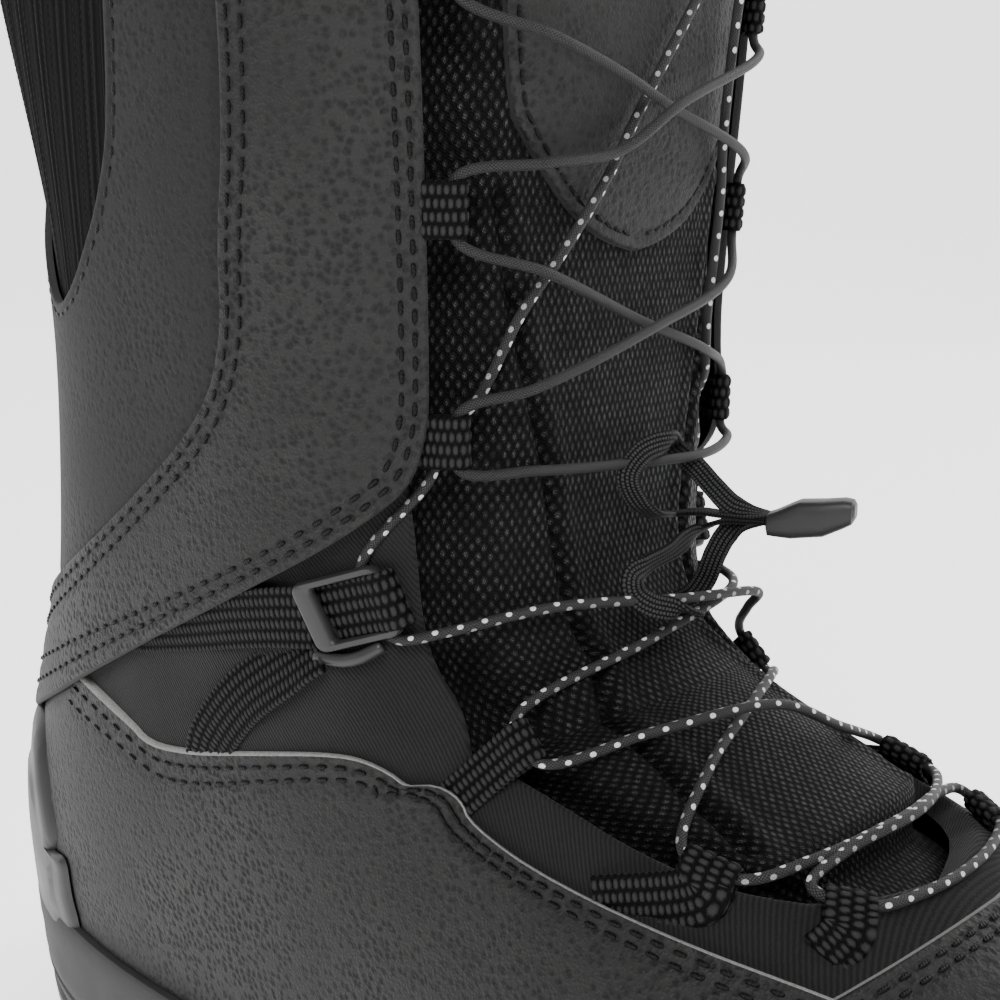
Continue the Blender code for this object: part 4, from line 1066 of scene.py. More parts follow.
# ---------------------------------------------------------------- tongue
TONGUE_TOP, TONGUE_EDGE, TONGUE_UNDER = -0.0008, -0.0062, -0.0082
TONGUE_SEAM = [(-0.170, 1.90), (-0.155, 2.33), (-0.122, 2.98), (-0.104, 3.59), (-0.090, 4.72)]
TONGUE_SEAM += [(-0.110, 5.5), (-0.146, 6.22), (-0.196, 6.93), (-0.221, 7.19)]
PATCH_EDGE = [(0.0, 0.45, True), (-0.168, 0.45, True), (-0.171, 1.60), (-0.142, 1.78)]
PATCH_EDGE += [(-0.099, 1.97), (-0.05, 2.07), (0.0, 2.11, True)]


def tongue_level(s, v):
    """Level of the tongue's face: it bulges in the throat and dives under its edges."""
    side = np.clip((throat(v) - np.abs(s) - 0.015) / 0.06, 0, 1)
    t = side * np.clip((7.8 - v) / 0.5, 0, 1)
    return TONGUE_EDGE + (TONGUE_TOP - TONGUE_EDGE) * t * t * (3 - 2 * t)


def make_tongue():
    half = [(0.0, 0.02, True), (-0.20, 0.10), (-0.265, 0.40), (-0.270, 4.0), (-0.250, 5.24)]
    half += [(-0.300, 6.29), (-0.335, 6.86), (-0.345, 7.5), (-0.29, 8.0), (-0.12, 8.4)]
    half = rounded([*half, (0.0, 8.45, True)])
    grooves = [flat_line(turn(TONGUE_SEAM)) for turn in TURNS]

    def face(s, v, gap, flat):
        height = tongue_level(s, v) - TONGUE_TOP
        for line in grooves:
            away = line_gap(flat, line)
            height = height - 0.0016 * np.exp(-((away / (1.1 * MM)) ** 2))
            height = height + 0.0006 * np.exp(-(((away / MM - 3.2) / 2.0) ** 2))
        under = (TONGUE_UNDER + 0.0006) - TONGUE_TOP
        return np.maximum(height, under)

    halves, levels = [half, mirrored(half)], (TONGUE_UNDER, TONGUE_TOP)
    piece = panel("tongue", halves, levels, ("mesh",), cell=0.95, rows=(), relief=face)
    settle(piece, "flex", ["tongue"])
    patch = rounded(PATCH_EDGE)
    piece = panel(
        "tongue_patch",
        [patch, mirrored(patch)],
        (-0.0008, 0.0006),
        ("leather", "edge_dark"),
        cell=2.0,
        relief=edge_relief(0.7, 0.45, (PATCH_ROW,)),
    )
    settle(piece, "flex", ["tongue_patch"])
    lines = []
    for turn in TURNS:
        edge = turn(PATCH_EDGE)
        lines.append(inset(turn(patch), edge[1], edge[-1], PATCH_ROW))
    stitches("patch_stitches", lines, 0.0004, "flex", pitch=3.0)


# ---------------------------------------------------------------- swept cords and bands
CORD_SIDES = 14
CORD_STEP = 0.0007
RIBS = (1.1, 2.0, 0.8)  # a webbing's rib pitch and row height in mm, and how full the pitch is
CURVE_SPANS = (((0, 1), (1, 2), (2, 3)), ((0, 2), (1, 3)), ((1, 2),))  # of a centripetal curve
BAND_START = 50.0  # rows are counted from this far outside the band, in mm


def smooth_run(stops, step):
    """Even points on a centripetal curve through 3-D stops."""
    stops = np.array([tuple(p) for p in stops])
    ends = np.vstack([2 * stops[0] - stops[1], stops, 2 * stops[-1] - stops[-2]])
    line = []
    for four in zip(ends[:-3], ends[1:-2], ends[2:-1], ends[3:], strict=True):
        k = [0.0]
        for a, b in zip(four[:-1], four[1:], strict=True):
            k.append(k[-1] + max(np.linalg.norm(b - a), 1e-6) ** 0.5)
        count = max(2, int(np.linalg.norm(four[2] - four[1]) / step) + 1)
        for t in np.linspace(k[1], k[2], count, endpoint=False):
            points = four
            for spans in CURVE_SPANS:
                points = [
                    (k[j] - t) / (k[j] - k[i]) * a + (t - k[i]) / (k[j] - k[i]) * b
                    for (i, j), a, b in zip(spans, points[:-1], points[1:], strict=True)
                ]
            line.append(points[0])
    return even_line(np.vstack([line, stops[-1:]]), step)


def tube(name, stops, radius, look):
    """Round cord whose UV runs once around, and along in millimetres; also gives its length."""
    sides = CORD_SIDES
    line = smooth_run(stops, CORD_STEP)
    way = unit(np.gradient(line, axis=0))
    normal = outward(line)
    normal -= way * (normal * way).sum(1, keepdims=True)
    for _ in range(4):
        normal[1:-1] = (normal[:-2] + normal[1:-1] * 2 + normal[2:]) / 4
    normal = unit(normal - way * (normal * way).sum(1, keepdims=True))
    side = np.cross(way, normal)
    run = run_of(line)
    turns = np.linspace(0, 2 * pi, sides, endpoint=False)
    ring = normal[:, None] * np.cos(turns)[None, :, None]
    ring = ring + side[:, None] * np.sin(turns)[None, :, None]
    points = (line[:, None] + ring * radius).reshape(-1, 3)
    corners = []
    for low, high in zip(run[:-1], run[1:], strict=True):
        for i in range(sides):
            u, w = i / sides, (i + 1) / sides
            corners += [(u, low), (w, low), (w, high), (u, high)]
    corners += [(0.0, 0.0)] * (2 * sides)
    made = mesh_object(name, points, skin_rings(len(line), sides), [look])
    uv = made.data.uv_layers.new(name="UVMap")
    uv.data.foreach_set("uv", (np.array(corners) * (1.0, 1000.0)).astype(np.float32).ravel())
    return out_facing(made), run[-1]


def weave_height(along, across, ribs):
    """Height from 0 to 1 of the ribs in a band's staggered rows, for places in mm."""
    pitch, length, fill = ribs
    row = np.floor(across / length)
    a = (along / pitch + 0.5 * (row % 2)) % 1.0 - 0.5
    c = (across / length) % 1.0 - 0.5
    away = (np.abs(a) * 2 / fill) ** 2.4 + (np.abs(c) * 2 / 0.86) ** 2.4
    return np.clip(1 - away, 0, 1) ** 0.5


def band(name, centre, side, half, thick, look, ribs=RIBS, cell=0.24, relief=0.3):
    """Woven band along a run of 3-D stops; side is its width direction and half its half width."""
    line = smooth_run(centre, cell * MM)
    run = run_of(line)
    stops_run = run_of(np.array([tuple(p) for p in centre]))
    t = run / run[-1] * stops_run[-1]
    sides = np.array([tuple(p) for p in side])
    sides = np.stack([np.interp(t, stops_run, sides[:, i]) for i in range(3)], -1)
    halves = np.interp(t, stops_run, np.broadcast_to(np.asarray(half, float), (len(centre),)))
    way = unit(np.gradient(line, axis=0))
    sides = unit(sides - way * (sides * way).sum(1, keepdims=True))
    normal = np.cross(way, sides)
    count = max(6, int(2 * halves.max() / (cell * MM)))
    w = np.linspace(-1, 1, count)
    across = w[None, :] * halves[:, None]
    height = weave_height(run[:, None] / MM, across / MM + BAND_START, ribs)
    fall = np.clip((1 - np.abs(w)) * halves.max() / (0.35 * MM), 0, 1)[None, :] ** 0.5
    rise = (thick * (0.5 * fall) + relief * MM * height * fall)[..., None]
    top = line[:, None] + sides[:, None] * across[..., None] + normal[:, None] * rise
    low = line[:, None] + sides[:, None] * across[..., None] - normal[:, None] * rise
    rows = len(line)
    points = np.vstack([top.reshape(-1, 3), low.reshape(-1, 3)])
    index = np.arange(rows * count).reshape(rows, count)
    a, b, c, d = index[:-1, :-1], index[:-1, 1:], index[1:, 1:], index[1:, :-1]
    quads = np.stack([a, b, c, d], -1).reshape(-1, 4)
    n = rows * count
    rim = [*index[0], *index[1:, -1], *index[-1, -2::-1], *index[-2:0:-1, 0]]
    walls = [(i, j, j + n, i + n) for i, j in zip(rim, rim[1:] + rim[:1], strict=True)]
    faces = [*quads.tolist(), *(quads[:, ::-1] + n).tolist(), *walls]
    uv = np.stack([np.broadcast_to(run[:, None] / MM, (rows, count)), across / MM], -1).reshape(-1, 2)
    # the rib height goes to the material, which paints shade in the gaps and a highlight on the rib tops
    tall = np.concatenate([height.ravel(), height.ravel()])
    made = mesh_object(name, points, faces, [look], np.vstack([uv, uv]), weave=tall)
    return out_facing(made)


# ---------------------------------------------------------------- loops, straps and buckles
LACE_R = 0.00085
LOOP_INSET = 0.024
CUFF_LOOPS = {"1": (1.10, 1.32), "2": (1.85, 2.05), "3": (2.72, 2.98)}
FOOT_LOOPS = {"1": (5.28, 5.80), "2": (6.98, 7.32), "3": (7.66, 7.90)}


def make_loop(name, sign, span, body, root, level):
    """Webbing folded round the lace, both ends running in under the leather at the root."""
    ends = [(sign * (float(throat(v)) - LOOP_INSET), v) for v in span]
    top, bottom = (place(s, v, 0.0018) for s, v in ends)
    middle = (top + bottom) / 2
    along = bottom - top
    inward = along.cross(Vector(outward(middle))).normalized()
    if inward.dot(place(0.0, sum(span) / 2) - middle) < 0:
        inward.negate()
    out = inward.cross(along).normalized()
    if out.dot(Vector(outward(middle))) < 0:
        out.negate()
    low, high = (place(sign * root[0], root[1], level + lift) for lift in (-0.0006, 0.0004))
    spots = [(-0.0040, -0.0022), (-0.0012, -0.0018), (0.0008, -0.0012), (0.0014, 0.0)]
    spots += [(0.0009, 0.0010), (-0.0003, 0.0013), (-0.0024, 0.0007), (-0.0046, -0.0006)]
    path = [low, *(middle + inward * a + out * b for a, b in spots), high]
    piece = band(name, path, [along] * len(path), along.length / 2 - 0.0002, 0.0005, "webbing")
    return settle(piece, body, [name])


FOOT_ROOTS = {"1": (0.318, 5.95), "2": (0.405, 7.10), "3": (0.360, 8.02)}


def make_loops():
    for side, sign in SIGNS.items():
        for number, span in CUFF_LOOPS.items():
            make_loop(f"cuff_loop_{number}_{side}", sign, span, "flex", (0.262, sum(span) / 2), -0.0012)
        for number, span in FOOT_LOOPS.items():
            make_loop(f"foot_loop_{number}_{side}", sign, span, "foot", FOOT_ROOTS[number], -0.0004)


BUCKLE = [(-0.341, 3.62), (-0.271, 3.47), (-0.247, 3.96), (-0.319, 4.13)]
BUCKLE_BARS = (0.0037, 0.0014, 0.0016, 0.0014)  # widths: rear, top, front, bottom
BUCKLE_CORNER = 18  # points round each corner
WIDE_RIBS = (1.25, 2.2, 0.78)
STRAP_UPPER_LINE = [(-0.62, 4.08, 0.0004), (-0.54, 4.03, 0.0005), (-0.46, 3.97, 0.0006)]
STRAP_UPPER_LINE += [(-0.40, 3.90, 0.0008), (-0.355, 3.86, 0.0011)]
STRAP_LOWER_LINE = [(-0.490, 5.10, -0.0002), (-0.468, 4.90, 0.0003), (-0.412, 4.55, 0.0004)]
STRAP_LOWER_LINE += [(-0.352, 4.24, 0.0003), (-0.322, 4.06, 0.0002)]


def make_harness(side, turn):
    """Ring with its two straps, and the webbing that folds round the lace and the ring's front."""
    corners = [place(s, v) for s, v in turn(BUCKLE)]
    middle = sum(corners, Vector()) / 4
    out = Vector(outward(middle))
    a, b, c, d = flat = [p - out * (p - middle).dot(out) + out * 0.0008 for p in corners]
    piece = make_buckle(f"ankle_buckle_{side}", flat, out)
    settle(piece, "foot", [f"ankle_buckle_{side}"])
    fold = [b.lerp(c, t) for t in (0.10, 0.90)]
    rear = [a.lerp(d, t) + (b - a).normalized() * 0.0032 for t in (0.10, 0.90)]
    front_mid, rear_mid = sum(fold, Vector()) / 2, sum(rear, Vector()) / 2
    way = (front_mid - rear_mid).normalized()
    spots = [(0.0, -0.0010), (0.0015, -0.0004), (0.0045, 0.0002)]
    path = [rear_mid + way * x + out * z for x, z in spots]
    spots = [(-0.0040, 0.0010), (-0.0014, 0.0020), (0.0004, 0.0020), (0.0016, 0.0008)]
    spots += [(0.0014, -0.0006), (0.0, -0.0016), (-0.003, -0.0018)]
    path += [front_mid + way * x + out * z for x, z in spots]
    along = fold[1] - fold[0]
    name = f"ankle_lace_loop_{side}"
    piece = band(name, path, [along] * len(path), along.length / 2, 0.0006, "webbing", WIDE_RIBS)
    settle(piece, "foot", [name])
    line = [place(*stop) for stop in turn(STRAP_UPPER_LINE)]
    line.append(rear_mid - way * 0.0026 + out * 0.0004)
    piece = band(f"ankle_strap_upper_{side}", line, [d - a] * len(line), 0.0054, 0.0006, "webbing")
    settle(piece, "foot", [f"ankle_strap_upper_{side}"])
    line = [place(*stop) for stop in turn(STRAP_LOWER_LINE)]
    across = place(*turn([(-0.418, 4.93)])[0]) - place(*turn([(-0.512, 4.87)])[0])
    piece = band(f"ankle_strap_lower_{side}", line, [across] * len(line), 0.0053, 0.0006, "webbing")
    settle(piece, "foot", [f"ankle_strap_lower_{side}"])
    stops = [place(*stop) for stop in turn([(-0.325, 4.16, 0.0008), (-0.302, 4.20, 0.0012)])]
    stops += [place(*stop) for stop in turn([(-0.288, 4.17, 0.0014), (-0.270, 4.08, 0.0008)])]
    piece, _ = tube(f"strap_end_{side}", stops, 0.0011, "plastic")
    settle(piece, "foot")


def make_buckle(name, flat, out):
    """Four-sided ring with rounded bars, wide at the rear."""
    a, b, c, d = flat
    bars = BUCKLE_BARS
    top_way, low_way = (b - a).normalized(), (c - d).normalized()
    rear_way, front_way = (d - a).normalized(), (c - b).normalized()
    hole = [a + top_way * bars[0] + rear_way * bars[1], b - top_way * bars[2] + front_way * bars[1]]
    hole += [c - low_way * bars[2] - front_way * bars[3], d + low_way * bars[0] - rear_way * bars[3]]

    def loop(corners, radius):
        points = []
        for i, p in enumerate(corners):
            before, after = corners[i - 1], corners[(i + 1) % 4]
            x, y = (before - p).normalized() * radius, (after - p).normalized() * radius
            for k in range(BUCKLE_CORNER):
                t = k / (BUCKLE_CORNER - 1)
                points.append(p + x * (1 - t) ** 2 + y * t**2)
        return points

    outer, inner = loop(flat, 0.0022), loop(hole, 0.0009)
    section = [(0.0, 0.0002), (0.02, 0.0011), (0.10, 0.0016), (0.20, 0.0018), (0.80, 0.0018)]
    section += [(0.90, 0.0016), (0.98, 0.0011), (1.0, 0.0002), (0.9, -0.0004), (0.1, -0.0004)]
    points, faces = [], []
    n, m = len(outer), len(section)
    for o, i in zip(outer, inner, strict=True):
        for t, h in section:
            points.append(o.lerp(i, t) + out * h)
    for k in range(n):
        for j in range(m):
            p, q = k * m + j, ((k + 1) % n) * m + j
            p2, q2 = k * m + (j + 1) % m, ((k + 1) % n) * m + (j + 1) % m
            faces.append((p, q, q2, p2))
    made = mesh_object(name, [tuple(p) for p in points], faces, ["plastic"])
    made.data.set_sharp_from_angle(angle=radians(40))
    return out_facing(made)


# ---------------------------------------------------------------- lace locks' frame, and the laces
LOCK_PLACE = (0.300, 0.60)
LOCK_SEAT_LEVEL = 0.0008
LOCK_HALF = 0.011
HANDLE = (0.0165, 0.0052, 0.0038)  # half its width, height and thickness
HANDLE_AT = -0.0285
HANDLE_SIDES = 36
HANDLE_RIPPLE, HANDLE_SQUARE = 0.06, 0.55
LACE_OUT = 0.0034
LACE_LANE = 0.0018


class LockFrame:
    """Seat of a lace lock on the cuff: along runs down the boot, out is its normal."""

    def __init__(self, sign):
        s, v = LOCK_PLACE
        self.seat = place(sign * s, v, LOCK_SEAT_LEVEL)
        self.out = Vector(outward(self.seat))
        below = place(sign * s, v + 0.1, LOCK_SEAT_LEVEL)
        self.along = (below - self.seat - self.out * (below - self.seat).dot(self.out)).normalized()
        self.across = self.along.cross(self.out)

    def at(self, along, across, out):
        return self.seat + self.along * along + self.across * across + self.out * out


def loop_points(sign, span, down=True):
    ends = [(sign * (float(throat(v)) - LOOP_INSET), v, 0.0018) for v in span]
    return ends if down else list(reversed(ends))


def lock_points(frame, across, inward):
    stops = [HANDLE_AT + 0.002, -LOCK_HALF - 0.002, -0.004, 0.006, LOCK_HALF + 0.002]
    run = [frame.at(a, across, LACE_OUT) for a in stops]
    return run if inward else list(reversed(run))


def upper_route(frame):
    cuff = CUFF_LOOPS
    route = lock_points(frame, -LACE_LANE, True)
    route += [(-0.258, 0.92, 0.0048), (-0.17, 0.97, 0.0050), (0.0, 1.0, 0.0050)]
    route += [(0.165, 1.05, 0.0050)]
    route += loop_points(1, cuff["1"])
    route += [(0.14, 1.44, 0.0046), (0.0, 1.62, 0.0060), (-0.067, 1.77, 0.0044)]
    route += [(-0.14, 1.81, 0.0034)]
    route += loop_points(-1, cuff["2"])
    route += [(-0.14, 2.17, 0.0032), (0.0, 2.39, 0.0016), (0.11, 2.55, 0.0026)]
    route += loop_points(1, cuff["3"])
    route += [(0.15, 3.03, 0.0040), (0.066, 3.06, 0.0056), (-0.02, 3.05, 0.0034)]
    route += [(-0.14, 3.02, 0.0016)]
    route += loop_points(-1, cuff["3"], down=False)
    route += [(-0.15, 2.63, 0.0032), (0.0, 2.42, 0.0036), (0.14, 2.24, 0.0036)]
    route += loop_points(1, cuff["2"], down=False)
    route += [(0.14, 1.76, 0.0042), (0.0, 1.62, 0.0038), (-0.07, 1.54, 0.0044)]
    route += [(-0.14, 1.45, 0.0044)]
    route += loop_points(-1, cuff["1"], down=False)
    route += [(-0.240, 1.03, 0.0022), (-0.275, 0.99, 0.0030)]
    route += lock_points(frame, LACE_LANE, False)
    return route


def lower_route(frame):
    foot = FOOT_LOOPS
    route = lock_points(frame, -LACE_LANE, True)
    route += [(0.270, 0.97, 0.0036), (0.20, 0.96, 0.0028), (0.130, 1.12, 0.0024)]
    route += [(0.120, 1.66, 0.0022), (0.141, 1.92, 0.0015), (0.141, 2.15, 0.0013)]
    route += [(0.130, 2.40, 0.0014), (0.150, 2.66, 0.0004), (0.205, 2.84, -0.0021)]
    route += [(0.226, 2.97, -0.0019), (0.245, 3.12, -0.0010)]
    route += [(0.290, 3.50, -0.0004), (0.276, 3.80, -0.0004), (0.266, 4.08, -0.0004)]
    route += [(0.150, 4.02, 0.0020), (0.060, 4.05, 0.0050), (-0.04, 4.52, 0.0014)]
    route += loop_points(-1, foot["1"])
    route += [(-0.124, 5.89, 0.0016), (-0.009, 6.09, 0.0036), (0.10, 6.60, 0.0012)]
    route += loop_points(1, foot["2"])
    route += [(0.20, 7.42, 0.0014), (0.0, 7.48, 0.0034), (-0.15, 7.48, 0.0014)]
    route += [(-0.245, 7.56, 0.0018)]
    route += loop_points(-1, foot["3"])
    route += [(-0.215, 7.93, 0.0018), (-0.08, 8.02, 0.0014), (0.08, 8.02, 0.0014)]
    route += [(0.215, 7.93, 0.0018)]
    route += loop_points(1, foot["3"], down=False)
    route += [(0.245, 7.56, 0.0018), (0.15, 7.48, 0.0014), (0.0, 7.48, 0.0014)]
    route += [(-0.20, 7.42, 0.0014)]
    route += loop_points(-1, foot["2"], down=False)
    route += [(-0.14, 6.45, 0.0012), (-0.021, 6.05, 0.0012), (0.08, 5.80, 0.0012)]
    route += loop_points(1, foot["1"], down=False)
    route += [(0.112, 4.60, 0.0036), (0.090, 4.20, 0.0062), (-0.02, 3.95, 0.0052)]
    route += [(-0.129, 3.87, 0.0018), (-0.22, 3.98, 0.0014), (-0.256, 4.03, 0.0010)]
    route += [(-0.268, 3.95, 0.0004), (-0.276, 3.78, 0.0004), (-0.286, 3.58, 0.0002)]
    route += [(-0.280, 3.42, 0.0), (-0.262, 3.26, -0.0004), (-0.232, 3.05, -0.0008)]
    route += [(-0.212, 2.80, -0.0016)]
    route += [(-0.190, 2.66, -0.0004), (-0.154, 2.33, 0.0006), (-0.112, 2.09, 0.0016)]
    route += [(-0.070, 1.86, 0.0024), (-0.024, 1.62, 0.0022), (0.05, 1.25, 0.0026)]
    route += [(0.12, 0.88, 0.0026), (0.21, 0.84, 0.0034), (0.258, 0.90, 0.0042)]
    route += lock_points(frame, LACE_LANE, False)
    return route


def make_laces(locks):
    for name, route, look in (
        ("upper_lace", upper_route(locks["lateral"]), "lace_plain"),
        ("lower_lace", lower_route(locks["medial"]), "lace_fleck"),
    ):
        stops = [p if isinstance(p, Vector) else place(*p) for p in route]
        piece, length = tube(name, stops, LACE_R, look)
        settle(piece, "flex", [name])
        print(f"{name}: {length:.3f} m long")


# ---------------------------------------------------------------- pull tab
TAB_SURFACE = (0.05, 3.50)
TAB_HEADING = radians(21.5)
TAB_SIDE = 0.0020  # half the width of the tape
TAPE_RIBS = (0.55, 0.8, 0.9)
TIP_HALF = 0.0032
TIP_SIDES = 32
# how far along and up each ring of the tip is, its share of the width, and half its height
TIP_RINGS = [(0.0188, 0.0018, 0.5, 0.0010), (0.0192, 0.0018, 0.9, 0.0019)]
TIP_RINGS += [(0.0205, 0.0020, 1.0, 0.0022), (0.0232, 0.0026, 1.0, 0.0030)]
TIP_RINGS += [(0.0245, 0.0030, 1.02, 0.0032), (0.0285, 0.0034, 1.0, 0.0031)]
TIP_RINGS += [(0.0318, 0.0044, 0.94, 0.0025), (0.0332, 0.0047, 0.86, 0.0020)]
TIP_RINGS += [(0.0337, 0.0048, 0.6, 0.0012)]
# the tape's run: (along, up) in the tab's own plane, or (s, v, level) on the boot
TAB_UPPER = [(0.0215, 0.0030), (0.0195, 0.0031), (0.0161, 0.0034), (0.0128, 0.0044)]
TAB_UPPER += [(0.0095, 0.0074), (0.0062, 0.0108), (0.0024, 0.0140), (0.014, 2.955, 0.0050)]
TAB_UPPER += [(-0.022, 3.0, 0.0042)]
TAB_UPPER += [(-0.040, 3.11, 0.0038), (-0.030, 3.25, 0.0040), (-0.012, 3.34, 0.0044)]
TAB_UPPER += [(0.0020, 0.0022), (0.0071, 0.0030), (0.0109, 0.0028), (0.0160, 0.0026), (0.0213, 0.0026)]
TAB_LOWER = [(0.0215, 0.0022), (0.0190, 0.0022), (0.0147, 0.0014), (0.0122, -0.0003)]
TAB_LOWER += [(0.0101, -0.0040), (0.0083, -0.0089), (0.0062, -0.0120), (0.0033, -0.0138)]
TAB_LOWER += [(-0.025, 4.06, 0.0062)]
TAB_LOWER += [(-0.052, 3.95, 0.0050), (-0.060, 3.84, 0.0044), (-0.056, 3.73, 0.0042)]
TAB_LOWER += [(-0.034, 3.66, 0.0042), (0.005, 3.60, 0.0046), (0.0072, -0.0002), (0.0106, 0.0014)]
TAB_LOWER += [(0.0160, 0.0020), (0.0213, 0.0020)]
# how the tape's width turns: 1 shows its face from the side, 0 its edge
TAB_TURN = {
    "upper": [0, 0, 0.3, 0.8, 1, 1, 1, 1, 1, 1, 0.9, 0.5, 0.1, 0, 0, 0, 0],
    "lower": [0, 0, 0.4, 0.9, 1, 1, 1, 1, 0.9, 0.8, 0.7, 0.5, 0.3, 0.3, 0.2, 0.1, 0, 0],
}


def make_pull_tab():
    """Two loops of tape round the laces, joined in a moulded tip."""
    foot = place(*TAB_SURFACE)
    way = Vector((cos(TAB_HEADING), sin(TAB_HEADING), 0.0))
    width = Vector((-way.y, way.x, 0.0))
    up = Vector((0.0, 0.0, 1.0))

    def at(a, b, w=0.0):
        return foot + way * a + up * b + width * w

    for name, stops in (("upper", TAB_UPPER), ("lower", TAB_LOWER)):
        line = [place(*p) if len(p) == 3 else at(*p) for p in stops]
        sides = []
        for i, turn in enumerate(TAB_TURN[name]):
            run = (line[min(i + 1, len(line) - 1)] - line[max(i - 1, 0)]).normalized()
            face = width.cross(run).normalized()
            side = (width * (1 - turn) + face * turn).normalized()
            if sides and side.dot(sides[-1]) < 0:
                side.negate()
            sides.append(side)
        made = f"pull_tab_loop_{name}"
        piece = band(made, line, sides, TAB_SIDE, 0.0008, "tape", TAPE_RIBS, 0.16, 0.06)
        settle(piece, "pull_tab", [made])
    turns = [2 * pi * i / TIP_SIDES for i in range(TIP_SIDES)]
    points = []
    for a, b, wide, tall in TIP_RINGS:
        for t in turns:
            w = signed_power(cos(t), 0.45) * TIP_HALF * wide
            h = signed_power(sin(t), 0.7) * tall
            points.append(tuple(at(a, b + h, w)))
    faces = skin_rings(len(TIP_RINGS), TIP_SIDES)
    piece = mesh_object("pull_tab_tip", points, faces, ["rubber"])
    piece.data.set_sharp_from_angle(angle=radians(28))
    settle(out_facing(piece), "pull_tab", ["pull_tab_tip"])


# ---------------------------------------------------------------- handles, locks and rear loop
def make_handle(side, frame):
    wide, tall, thick = HANDLE
    turns = [2 * pi * i / HANDLE_SIDES for i in range(HANDLE_SIDES)]

    def ring(across, size):
        swell = size * (1 + HANDLE_RIPPLE * cos(across / wide * 9 * pi))
        spots = []
        for t in turns:
            along = tall * swell * signed_power(cos(t), HANDLE_SQUARE)
            out = thick * swell * signed_power(sin(t), HANDLE_SQUARE)
            spots.append(tuple(frame.at(HANDLE_AT + along, across, LACE_OUT + out)))
        return spots

    spots = [(-1.0, 0.45), (-0.985, 0.62), (-0.94, 0.80), (-0.85, 0.92)]
    spots += [(x / 20, 0.94 - 0.06 * cos(x / 20 * pi / 2)) for x in range(-16, 17)]
    spots += [(-a, b) for a, b in reversed(spots[:4])]
    points = [p for a, size in spots for p in ring(a * wide, size)]
    name = f"lace_handle_{side}"
    piece = mesh_object(name, points, skin_rings(len(spots), HANDLE_SIDES), ["rubber"])
    settle(out_facing(piece), "cuff", [name])


def make_rear_loop():
    low, high = place(-1.0, 1.1, 0.0022), place(-1.0, 0.55, 0.0022)
    top = high + Vector((0.001, 0.0, 0.046))
    path = [low, high, high + Vector((-0.009, 0.0, 0.014)), top + Vector((-0.006, 0.0, -0.010))]
    path += [top + Vector((0.001, 0.0, -0.002)), top + Vector((0.006, 0.0, -0.010))]
    path += [high + Vector((0.0055, 0.0, 0.023))]
    side = Vector((0.0, 1.0, 0.0))
    piece = band("rear_pull_loop", path, [side] * len(path), 0.011, 0.0012, "webbing")
    settle(piece, "cuff", ["rear_pull_loop"])


# ---------------------------------------------------------------- liner, footbed and sole
QUILT_PITCH = 26
LINER_LEVELS = (-0.0146, -0.0100)
LINER_MESH = {"cell": 4.0, "rows": (0.6, 1.4, 2.6, 4.0), "step": 2.5}


def make_liner():
    sock = [(-0.150, 0.0, True), (-0.150, 4.6), (-0.13, 5.2), (0.0, 5.5, True)]
    sock += [(0.0, 11.6, True), (-1.0, 11.6, True), (-1.0, 0.0, True)]
    tongue = [(0.0, 0.0, True), (-0.140, 0.0), (-0.140, 4.9), (0.0, 5.30, True)]

    def quilt(s, v, gap, flat):
        y = flat[:, 1] / MM
        puff = 0.0010 * np.abs(np.sin(pi * y / QUILT_PITCH)) ** 0.6 * np.clip(1.5 - v, 0, 1)
        return puff - 0.0020 * fall_off(gap, 4.0)

    for name, half in (("liner", rounded(sock)), ("liner_tongue", rounded(tongue))):
        halves = [half, mirrored(half)]
        piece = panel(name, halves, LINER_LEVELS, ("lining",), relief=quilt, **LINER_MESH)
        settle(piece, "flex", [name])


def plan_ring(level, count, z):
    """The boot's plan at the feather line, grown by a level, evenly spaced."""
    layer = surface(level)
    fine = np.linspace(4.8, LAST_V, 700)
    loop = np.vstack([layer(-1.0, fine, level), layer(1.0, fine, level)[::-1]])
    loop = loop[loop[:, 2] < FEATHER_Z + 0.0005][:, :2]
    closed = np.vstack([loop, loop[:1]])
    run = run_of(closed)
    at = np.linspace(0, run[-1], count, endpoint=False)
    x, y = (np.interp(at, run, column) for column in closed.T)
    for _ in range(8):
        x = (np.roll(x, 1) + x * 2 + np.roll(x, -1)) / 4
        y = (np.roll(y, 1) + y * 2 + np.roll(y, -1)) / 4
    return np.stack([x, y, np.full(count, z)], -1)


def stacked(name, profile, look, count=260, ripple=None):
    """Solid skinned through plan rings; profile holds (z, level) pairs from the bottom up."""
    rings = [plan_ring(level, count, z) for z, level in profile]
    points = np.vstack(rings)
    if ripple:
        points = ripple(points)
    made = mesh_object(name, points, skin_rings(len(profile), count), [look])
    made.data.set_sharp_from_angle(angle=radians(40))
    return out_facing(made)


LUG_STEP = (0.0118, 0.0125)
LUG_STAGGER = 0.006
ARCH_X = (-0.070, -0.004)  # no lugs in the middle of the arch
ARCH_HALF = 0.03


